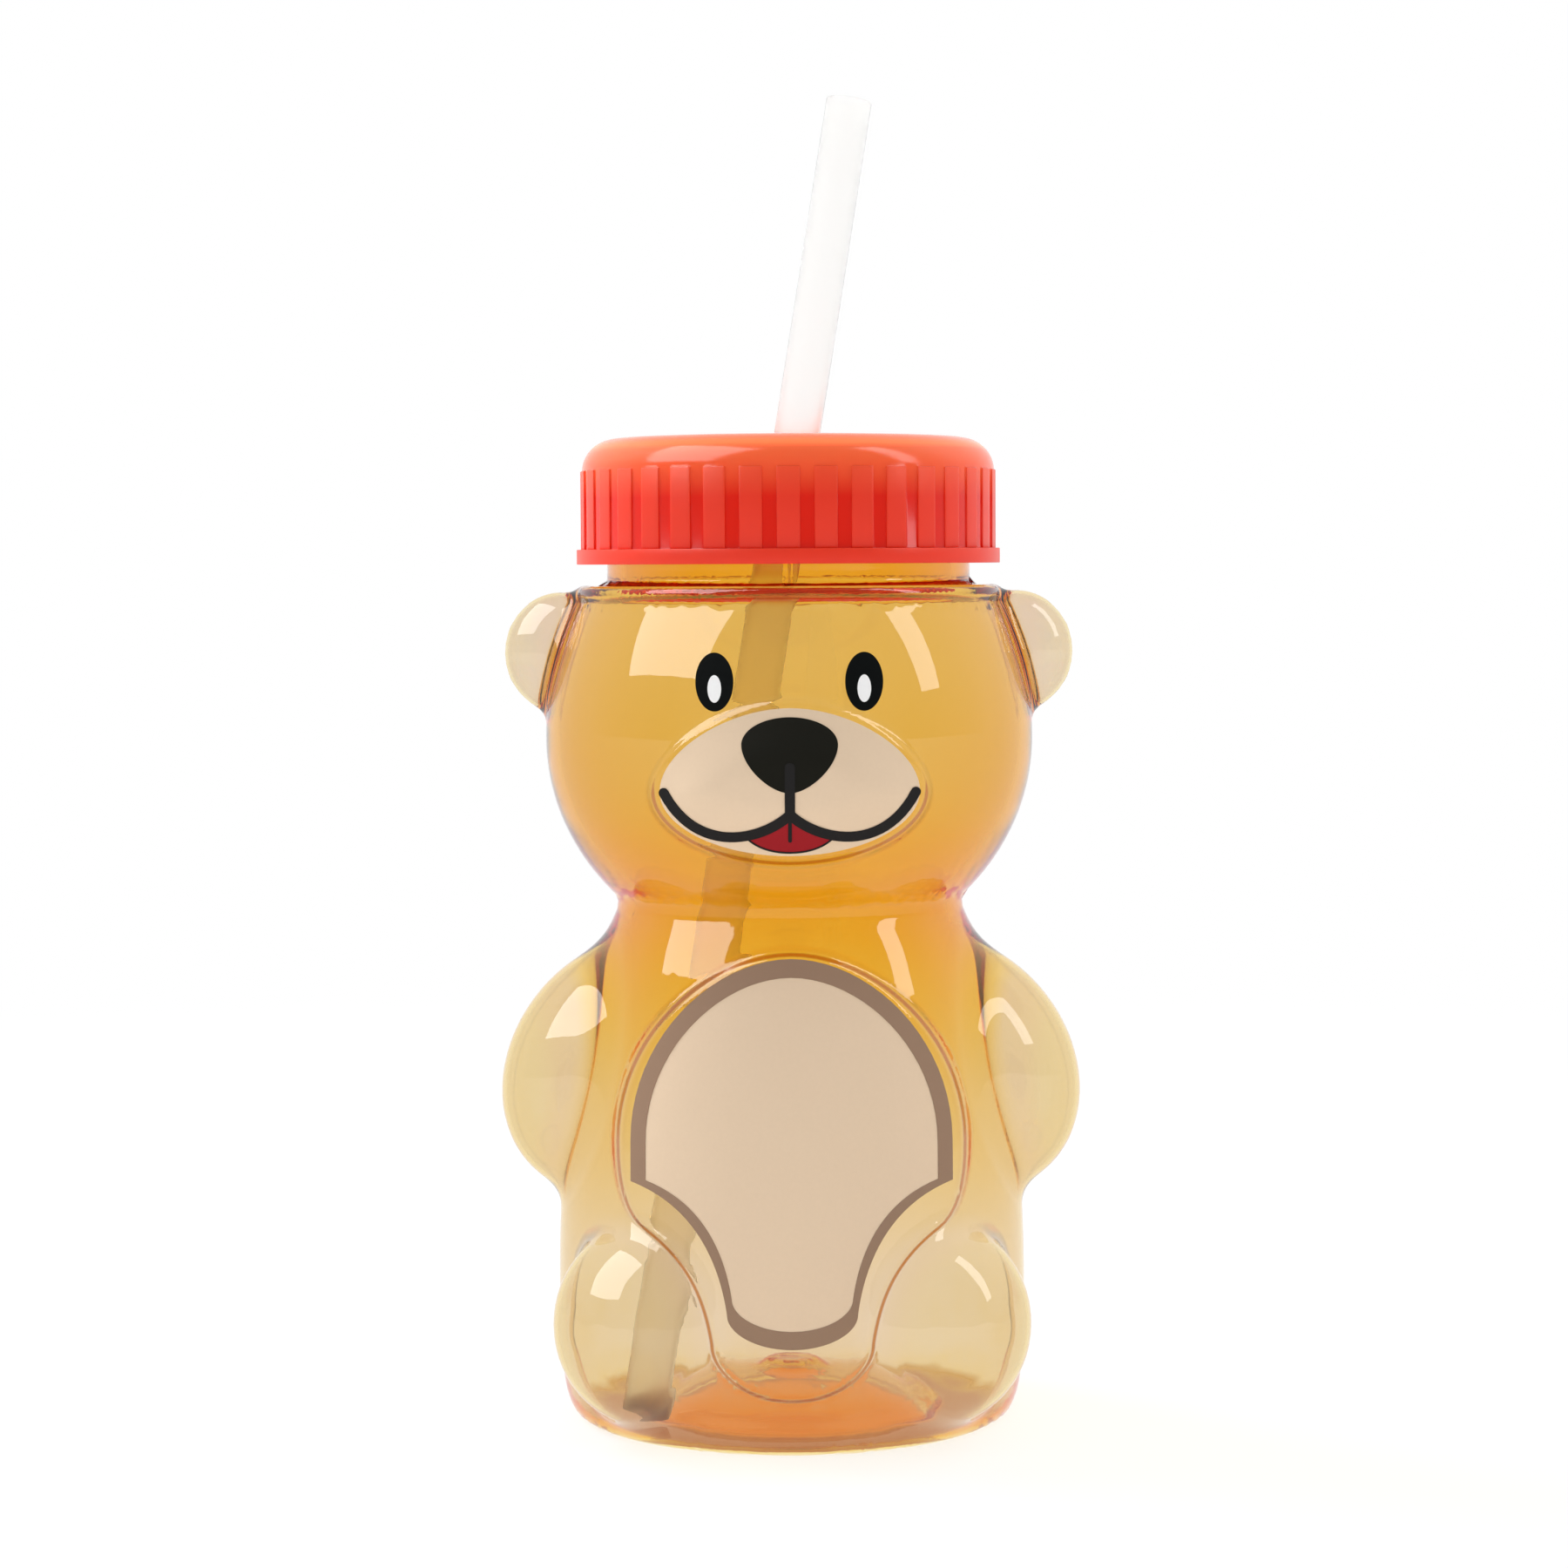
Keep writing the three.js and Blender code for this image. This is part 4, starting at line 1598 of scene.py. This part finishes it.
    def mark_edges(self, shell: Piece) -> None:
        """Stores each corner's distance to the panel's and the muzzle's edge, for the painted shade along
        those edges.

        Args:
            shell: The joined shell.
        """
        points = read_corners(shell)
        front = (np.abs(self.form.outside(points)) < self.skin_gap) & (points[:, 1] < 0)
        for name, shape in ((ShadedEdge.PANEL, self.form.panel), (ShadedEdge.MUZZLE, self.form.muzzle)):
            gap = np.clip(np.abs(shape.facing(points)), 0, self.far)
            if name is ShadedEdge.MUZZLE:
                # The painted shade fades out up the muzzle's edge, above its lower part.
                gap += self.edge_shade_fade * np.clip(points[:, 2] - self.form.muzzle_shade_end, 0, None)
            stored = shell.data.attributes.new(name.value, "FLOAT", "POINT")
            stored.data.foreach_set("value", np.where(front, gap, self.far))

    def dress(self, shell: Piece) -> None:
        """Gives the shell its amber plastic."""
        hand_over(shell, AmberPlastic().material(), "bottle", "amber_shell", "bottle_shell")


# Prints


class Inks(Enum):
    """The inks with their record slots."""

    TAN = ("tan_ink", (0.712, 0.549, 0.392))
    BROWN = ("brown_ink", (0.293, 0.19, 0.129))
    NOSE = ("nose_ink", (0.012, 0.0115, 0.0085))
    MOUTH = ("mouth_ink", (0.019, 0.018, 0.018))
    RED = ("red_ink", (0.295, 0.0155, 0.0205))
    EYE = ("eye_ink", (0.004, 0.005, 0.005))
    WHITE = ("white_ink", (0.86, 0.86, 0.86))

    @property
    def slot(self) -> str:
        """The record's slot."""
        return self.value[0]

    def material(self) -> Material:
        """The ink's material, made once."""
        name = f"{self.slot}_film"
        return bpy.data.materials.get(name) or Matt(name, self.value[1]).material()


@dataclass
class Prints:
    """The face and tummy prints: thin films on the shell. The face is drawn from the head's middle."""

    form: BearForm
    thickness: float = 0.07
    rings: int = 14
    band_rows: int = 5
    stroke_rows: int = 4
    tip_steps: int = 6
    stroke_width: float = 1.5
    fine_width: float = 0.55
    edge_width: float = 0.25
    tummy_heart: Spot = (0.0, 46.0)
    eye_across: float = 11.0
    eye: Egg = Egg(2.8, 5.4, 9.7, 14.0)
    glint: Egg = Egg(1.0, 6.7, 8.7, 10.7)
    patch: Egg = Egg(19.2, -16.0, -6.6, 5.9, high=0.48)
    nose: Egg = Egg(7.05, -6.4, 0.6, 4.6, low=0.42)
    lip: Spot = (0.0, -9.6)
    stem_top: Spot = (0.0, -2.7)
    crease_end: Spot = (0.0, -13.6)
    tongue_heart: Spot = (0.0, -13.0)

    def film(self, name: str, spots: np.ndarray, faces: list[tuple[int, ...]], layer: Layer) -> Piece:
        """A thin film with the given faces on the front of the bear.

        Args:
            name: The film's name.
            spots: Rows of across and up.
            faces: Rows of spots.
            layer: How far off the shell the film lies.

        Returns:
            The film.
        """
        piece = sheet(name, self.form.front(spots, layer.value), [], faces)
        with editing(piece, select="SELECT"):
            bpy.ops.mesh.normals_make_consistent(inside=False)
        if np.mean([face.normal.y for face in piece.data.polygons]) > 0:
            piece.data.flip_normals()
        apply_modifier(piece, "SOLIDIFY", thickness=self.thickness * MM, offset=1.0)
        return shade(piece)

    def filled(self, name: str, outline: np.ndarray, heart: np.ndarray, layer: Layer) -> Piece:
        """A film inside an outline, in rings round its heart.

        Args:
            name: The film's name.
            outline: Its edge.
            heart: Where its rings run in to.
            layer: How far off the shell the film lies.

        Returns:
            The film.
        """
        count = len(outline)
        shares = np.linspace(1, 0, self.rings + 1)[:-1]
        spots = np.vstack([heart + share * (outline - heart) for share in shares] + [heart[None]])
        faces = grid_faces(self.rings - 1, count, closed=True)
        last = (self.rings - 1) * count
        faces += [(last + i, last + (i + 1) % count, self.rings * count) for i in range(count)]
        return self.film(name, spots, faces, layer)

    def spot(self, name: str, egg: Egg, shift: np.ndarray, layer: Layer) -> Piece:
        """A film in an egg outline."""
        return self.filled(name, egg.outline() + shift, shift + (0, egg.middle), layer)

    def banded(self, name: str, outside: np.ndarray, inside: np.ndarray, layer: Layer) -> Piece:
        """A film between two outlines with as many points.

        Args:
            name: The film's name.
            outside: The outer outline.
            inside: The inner outline.
            layer: How far off the shell the film lies.

        Returns:
            The film.
        """
        rows = self.band_rows
        spots = np.vstack([outside + (inside - outside) * row / rows for row in range(rows + 1)])
        return self.film(name, spots, grid_faces(rows, len(outside), closed=True), layer)

    def stroke(self, name: str, line: np.ndarray, width: float) -> Piece:
        """A film of even width along a line, with round ends, on top of the other inks.

        Args:
            name: The film's name.
            line: Points along its middle.
            width: Its width.

        Returns:
            The film.
        """
        along = np.gradient(line, axis=0)
        along /= np.linalg.norm(along, axis=1)[:, None]
        aside = np.column_stack([-along[:, 1], along[:, 0]])
        angles = np.linspace(0, math.pi / 2, self.tip_steps + 1)[:-1, None]
        ends = []
        for end, sign in ((0, -1), (-1, 1)):
            tip = line[end] + sign * along[end] * width / 2 * np.cos(angles)
            ends.append((tip[::-sign], (np.sin(angles) * aside[end])[::-sign]))
        middle = np.vstack([ends[0][0], line, ends[1][0]])
        reach = np.vstack([ends[0][1], aside, ends[1][1]]) * width / 2
        shares = np.linspace(-1, 1, self.stroke_rows + 1)
        spots = np.vstack([middle + share * reach for share in shares])
        faces = grid_faces(self.stroke_rows, len(middle), closed=False)
        piece = self.film(name, spots, faces, Layer.THIRD)
        with editing(piece, Pick.CORNERS, "SELECT"):
            bpy.ops.mesh.remove_doubles(threshold=2 * WELD)
        return piece

    def tummy(self) -> None:
        """The belly print: a tan field in a brown border."""
        outside, inside = Bib.border().outline(), Bib.patch().outline()
        border = self.banded("tummy_border_ink", outside, inside, Layer.SECOND)
        self.ink(border, Inks.BROWN, "tummy_border")
        heart = np.array(self.tummy_heart)
        tan = self.filled("tummy_field_ink", (inside + outside) / 2, heart, Layer.FIRST)
        self.ink(tan, Inks.TAN, "tummy_field")

    def eyes(self) -> None:
        """Both eyes with their glints."""
        for side in Side:
            shift = np.array((side.value * self.eye_across, self.form.head_middle))
            word = side.name.lower()
            self.ink(self.spot(f"eye_{word}_ink", self.eye, shift, Layer.FIRST), Inks.EYE, f"eye_{word}")
            glint = self.spot(f"eye_glint_{word}_ink", self.glint, shift, Layer.SECOND)
            self.ink(glint, Inks.WHITE, f"eye_glint_{word}")

    def muzzle(self) -> None:
        """The muzzle patch, nose, tongue and mouth."""
        shift = np.array((0.0, self.form.head_middle))
        flip = (-1, 1)
        self.ink(self.spot("muzzle_patch_ink", self.patch, shift, Layer.FIRST), Inks.TAN, "muzzle_patch")
        self.ink(self.spot("nose_ink", self.nose, shift, Layer.SECOND), Inks.NOSE, "nose")
        tip = bezier((0, -15.5), (2.6, -15.5), (4.8, -14.8), (6.3, -13.3))
        root = bezier((6.3, -12.9), (3.8, -12.3), (1.55, -11.1), self.lip)
        outline = mirrored(np.vstack([tip, root])) + shift
        tongue = self.filled("tongue_ink", outline, shift + self.tongue_heart, Layer.SECOND)
        self.ink(tongue, Inks.RED, "tongue")
        smile = bezier(self.lip, (4.2, -13.6), (13.6, -16.0), (18.6, -6.7), steps=24)
        strokes = [
            self.stroke("smile_right", smile + shift, self.stroke_width),
            self.stroke("smile_left", smile * flip + shift, self.stroke_width),
            self.stroke("mouth_stem", bezier(self.lip, self.stem_top) + shift, self.stroke_width),
            self.stroke("tongue_crease", bezier(self.lip, self.crease_end) + shift, self.fine_width),
            self.stroke("tongue_edge_right", tip + shift, self.edge_width),
            self.stroke("tongue_edge_left", tip * flip + shift, self.edge_width),
        ]
        self.ink(join("mouth_line_ink", strokes), Inks.MOUTH, "mouth_line")

    def ink(self, piece: Piece, ink: Inks, node: str) -> None:
        """Dresses a film in its ink."""
        hand_over(piece, ink.material(), "bottle", ink.slot, node)

    def build(self) -> None:
        """All prints."""
        self.tummy()
        self.eyes()
        self.muzzle()


# Lid, gasket and straw


def ring_section(inner: float, outer: float, bottom: float, top: float) -> np.ndarray:
    """The section of a plain ring, as a closed loop of radius and height."""
    return np.array([(inner, bottom), (outer, bottom), (outer, top), (inner, top)])


@dataclass
class ScrewLid:
    """The ribbed lid with its hole for the straw."""

    wall_radius: float = 32.0
    wall_gap: float = 0.05
    inner_radius: float = 30.2
    hole_radius: float = 5.3
    top_wall: float = 2.0
    band_height: float = 2.3
    dome_width: float = 5.4
    dome_height: float = 5.0
    dome_steps: int = 14
    rib_count: int = 36
    rib_columns: int = 8
    gap_columns: int = 5
    rib_rise: float = 0.23
    edge_round: float = 0.1
    edge_steps: int = 2
    edge_angle: float = 35.0

    def profile(self, bottom: float, top: float, band_radius: float) -> np.ndarray:
        """The lid's section as a closed loop of radius and height.

        Args:
            bottom: Height of its lower edge.
            top: Height of its top.
            band_radius: Radius of its bottom band.

        Returns:
            Rows of radius and height.
        """
        band_top = bottom + self.band_height
        under = top - self.top_wall
        dome = (self.wall_radius - self.dome_width, top - self.dome_height)
        return np.vstack(
            [
                [(self.inner_radius, bottom), (band_radius, bottom)],
                [(band_radius, band_top), (self.wall_radius, band_top)],
                arc(dome, (self.dome_width, self.dome_height), 0, math.pi / 2, self.dome_steps),
                [(self.hole_radius, top), (self.hole_radius, under), (self.inner_radius, under)],
            ]
        )

    def build(self) -> Piece:
        """The lid: a spun section whose ribs are drawn out of its side.

        Returns:
            The lid.
        """
        low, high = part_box("screw_lid")
        bottom, top = low.z / MM, high.z / MM
        columns = self.rib_columns + self.gap_columns
        rib_share = self.rib_columns / columns
        section = self.profile(bottom, top, (high.x - low.x) / 2 / MM)
        lid = spun("screw_lid_moulding", section, self.rib_count * columns, closed=True)
        x, y, z = face_middles(lid).T
        turn = (np.arctan2(y, x) / FULL_TURN * self.rib_count + rib_share / 2) % 1
        side = np.abs(np.hypot(x, y) - self.wall_radius) < self.wall_gap
        side &= (z > bottom + self.band_height) & (z < top - self.dome_height)
        choose_faces(lid, side & (turn < rib_share))
        rise = {"value": self.rib_rise * MM}
        with editing(lid):
            bpy.ops.mesh.extrude_region_shrink_fatten(TRANSFORM_OT_shrink_fatten=rise)
        return bevel(lid, self.edge_round, self.edge_steps, self.edge_angle)

    def dress(self, lid: Piece) -> None:
        """Gives the lid its red plastic."""
        hand_over(lid, LidPlastic().material(), "lid", "red_lid", "screw_lid")


@dataclass
class LidGasket:
    """The soft ring under the lid."""

    inner_radius: float = 26.2
    steps: int = 120
    edge_round: float = 0.35
    edge_steps: int = 3
    edge_angle: float = 50.0
    colour: Colour = (0.84, 0.83, 0.79)
    gloss: Spot = (0.42, 0.55)
    shine: float = 0.4

    def build(self) -> Piece:
        """A spun ring with rounded edges.

        Returns:
            The gasket.
        """
        low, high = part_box("lid_gasket")
        outer = (high.x - low.x) / 2 / MM
        section = ring_section(self.inner_radius, outer, low.z / MM, high.z / MM)
        ring = spun("lid_gasket_ring", section, self.steps, closed=True)
        return bevel(ring, self.edge_round, self.edge_steps, self.edge_angle)

    def dress(self, ring: Piece) -> None:
        """Gives the gasket its silicone."""
        silicone = Matt("gasket_silicone", self.colour, gloss=self.gloss, shine=self.shine)
        hand_over(ring, silicone.material(), "lid_seal", "gasket_silicone", "lid_gasket")


@dataclass
class Straw:
    """The straight straw that leans through the lid."""

    direction: Vector
    radius: float = 3.55
    wall: float = 0.6
    steps: int = 64
    edge_round: float = 0.12
    edge_steps: int = 2
    edge_angle: float = 50.0

    def build(self) -> Piece:
        """A spun tube, leaned along the way it slides.

        Returns:
            The straw.
        """
        low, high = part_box("straw")
        lean = math.sqrt(1 - self.direction.z**2)
        reach = self.radius * MM * lean
        length = (high.z - low.z - 2 * reach) / self.direction.z / MM
        section = ring_section(self.radius - self.wall, self.radius, 0, length)
        tube = spun("straw_tube", section, self.steps, closed=True)
        bevel(tube, self.edge_round, self.edge_steps, self.edge_angle)
        start = (low + high) / 2 - self.direction * length * MM / 2
        turn = Vector((0, 0, 1)).rotation_difference(self.direction).to_matrix().to_4x4()
        tube.data.transform(Matrix.Translation(start) @ turn @ Matrix.Translation((-Axis.x, -Axis.y, 0)))
        return tube

    def dress(self, tube: Piece) -> None:
        """Gives the straw its milky plastic."""
        hand_over(tube, StrawPlastic().material(), "straw", "straw_plastic", "straw")


# Studio


@dataclass(frozen=True)
class Softbox:
    """A soft lamp that shows in gloss, or only lights matt surfaces, but is never seen through the bottle."""

    name: str
    bearing: float
    rise: float
    width: float
    height: float
    radiance: float
    roll: float = 0.0
    gloss: bool = True
    away: float = 1.0

    def build(self, target: Vector) -> None:
        """Hangs the lamp and turns it to the bottle.

        Args:
            target: The point that it shines at.
        """
        lamp = bpy.data.lights.new(self.name, "AREA")
        lamp.shape = "RECTANGLE"
        lamp.size, lamp.size_y = self.width, self.height
        lamp.energy = self.radiance * math.pi * self.width * self.height
        holder = stand(self.name, lamp)
        bearing, rise = math.radians(self.bearing), math.radians(self.rise)
        level = math.cos(rise)
        way = Vector((math.sin(bearing) * level, -math.cos(bearing) * level, math.sin(rise)))
        holder.location = target + way * self.away
        roll = Matrix.Rotation(math.radians(self.roll), 3, "Z")
        facing = (-way).to_track_quat("-Z", "Y").to_matrix() @ roll
        holder.rotation_euler = facing.to_euler()
        holder.visible_camera = False
        holder.visible_transmission = False
        holder.visible_glossy = self.gloss
        holder.visible_diffuse = not self.gloss


@dataclass
class Studio:
    """White floor and surroundings, the lamps and the camera."""

    eye_distance: float = 600.0
    eye_height: float = 133.6
    eye_shift: float = -0.85
    pitch: float = 3.34
    roll: float = -0.3
    lens: float = 88.3
    sensor: float = 36.0
    clip: Spot = (0.01, 200.0)
    floor_half: float = 40.0
    floor_lift: float = 0.05
    ambient: float = 0.85
    dark_side: float = 0.25
    dark_span: Spot = (-0.5, 0.3)
    floor_colour: float = 0.9
    floor_glow: float = 0.75
    disc_radius: float = 21.5
    # Painted light under the base, seen through the bottle.
    painted_base_light: Colour = (0.93, 0.36, 0.03)
    contact_radii: Spot = (24.0, 29.5)
    # Painted shadow under the standing ring.
    painted_contact_shadow: Colour = (0.52, 0.21, 0.11)
    edge_radius: float = 33.6
    # Painted shade by the heel.
    painted_heel_shade: Colour = (0.7, 0.46, 0.18)
    plain_floor: float = 37.5
    white_from: float = 120.0
    white_to: float = 600.0
    bounces: int = 64
    boxes: tuple[Softbox, ...] = (
        Softbox("key_softbox", bearing=-68, rise=46, width=0.74, height=0.86, radiance=5.8, roll=8),
        Softbox("strip_softbox", bearing=71, rise=40, width=0.2, height=0.86, radiance=5.0),
        Softbox("left_rim", bearing=-120, rise=35, width=0.6, height=0.6, radiance=9, gloss=False),
        Softbox("right_rim", bearing=120, rise=35, width=0.6, height=0.6, radiance=3, gloss=False),
    )

    def build(self) -> None:
        """Sets up everything round the bottle."""
        self.camera()
        self.world()
        self.floor()
        target = Vector((Axis.x, Axis.y, self.eye_height * MM / 2))
        for box in self.boxes:
            box.build(target)
        scene = bpy.context.scene
        scene.view_settings.view_transform = "Standard"
        scene.cycles.max_bounces = self.bounces
        scene.cycles.transmission_bounces = self.bounces
        scene.cycles.glossy_bounces = self.bounces
        scene.cycles.transparent_max_bounces = self.bounces

    def camera(self) -> None:
        """A camera at the height of the bottle's shoulder, looking slightly down."""
        lens = bpy.data.cameras.new("camera")
        lens.lens = self.lens
        lens.sensor_width = self.sensor
        lens.clip_start, lens.clip_end = self.clip
        holder = stand("camera", lens)
        holder.location = to_frame(np.array((self.eye_shift, -self.eye_distance, self.eye_height)))
        tip = Matrix.Rotation(math.radians(90 - self.pitch), 3, "X")
        lean = Matrix.Rotation(math.radians(self.roll), 3, "Z")
        holder.rotation_euler = (tip @ lean).to_euler()
        bpy.context.scene.camera = holder

    def world(self) -> None:
        """White to the eye and through the bottle, darker behind the camera for gloss, dimmer as light."""
        world = bpy.data.worlds.new("studio")
        world.use_nodes = True
        bpy.context.scene.world = world
        nodes = NodeSheet(world.node_tree)
        path = nodes.add("LightPath").outputs
        side = nodes.ramp(nodes.part(nodes.place("Generated"), "Y"), self.dark_span, self.dark_side)
        gloss = nodes.mix(path["Is Glossy Ray"], self.ambient, side, "FLOAT")
        seen = nodes.math("MAXIMUM", path["Is Camera Ray"], path["Is Transmission Ray"])
        strength = nodes.mix(seen, gloss, 1.0, "FLOAT")
        background = nodes.feed(nodes.add("Background"), Color=WHITE, Strength=strength)
        nodes.feed(nodes.add("OutputWorld"), Surface=background.outputs["Background"])

    def under_bottle(self, nodes: NodeSheet, away: Socket) -> Socket:
        """The floor's colour as seen through the bottle: painted amber light under the base, a painted shadow
        under the standing ring and painted shade by the heel, white further off.

        Args:
            nodes: The nodes that it is added to.
            away: Distance from the middle of the floor, in metres.

        Returns:
            The colour.
        """
        ramp = nodes.feed(nodes.add("ValToRGB"), nodes.math("DIVIDE", away, self.plain_floor * MM))
        stops = ramp.color_ramp.elements
        stops[0].position = self.disc_radius / self.plain_floor
        stops[0].color = (*self.painted_base_light, 1)
        stops[1].color = (*WHITE, 1)
        for radius in self.contact_radii:
            stops.new(radius / self.plain_floor).color = (*self.painted_contact_shadow, 1)
        stops.new(self.edge_radius / self.plain_floor).color = (*self.painted_heel_shade, 1)
        return ramp.outputs["Color"]

    def floor(self) -> None:
        """A wide pale floor that keeps the bottle's shadow. The standing ring dips into it by the lift."""
        bpy.ops.object.select_all(action="DESELECT")
        bpy.ops.mesh.primitive_plane_add(size=2 * self.floor_half, location=(0, 0, self.floor_lift * MM))
        floor = rename(bpy.context.object, "floor")
        nodes, material = NodeSheet.of_material("floor_white")
        path = nodes.add("LightPath").outputs
        through = path["Is Transmission Ray"]
        away = nodes.vector("LENGTH", nodes.place())["Value"]
        matt = nodes.feed(nodes.add("BsdfDiffuse"), Color=(self.floor_colour,) * 3)
        colour = nodes.mix(through, WHITE, self.under_bottle(nodes, away))
        glow = nodes.feed(nodes.add("Emission"), Color=colour)
        seen = nodes.math("MAXIMUM", path["Is Glossy Ray"], through)
        far = nodes.ramp(away, (self.white_from * MM, self.white_to * MM), self.floor_glow, soft=True)
        share = nodes.math("MULTIPLY_ADD", path["Is Camera Ray"], far, seen, clamp=True)
        nodes.finish(nodes.blend(share, matt.outputs["BSDF"], glow.outputs["Emission"]))
        floor.data.materials.append(material)


def main() -> None:
    logging.basicConfig(level=logging.INFO, format="%(name)s: %(message)s")
    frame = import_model()
    bpy.ops.object.select_all(action="DESELECT")
    Axis.read()
    Studio().build()
    form = BearForm()
    shell = BottleShell(form)
    shell.dress(shell.build())
    Prints(form).build()
    lid = ScrewLid()
    lid.dress(lid.build())
    gasket = LidGasket()
    gasket.dress(gasket.build())
    pull = next(joint for joint in frame["joints"] if joint["name"] == "straw_pull")
    straw = Straw(Vector(pull["axis"]).normalized())
    straw.dress(straw.build())


if __name__ == "__main__":
    main()
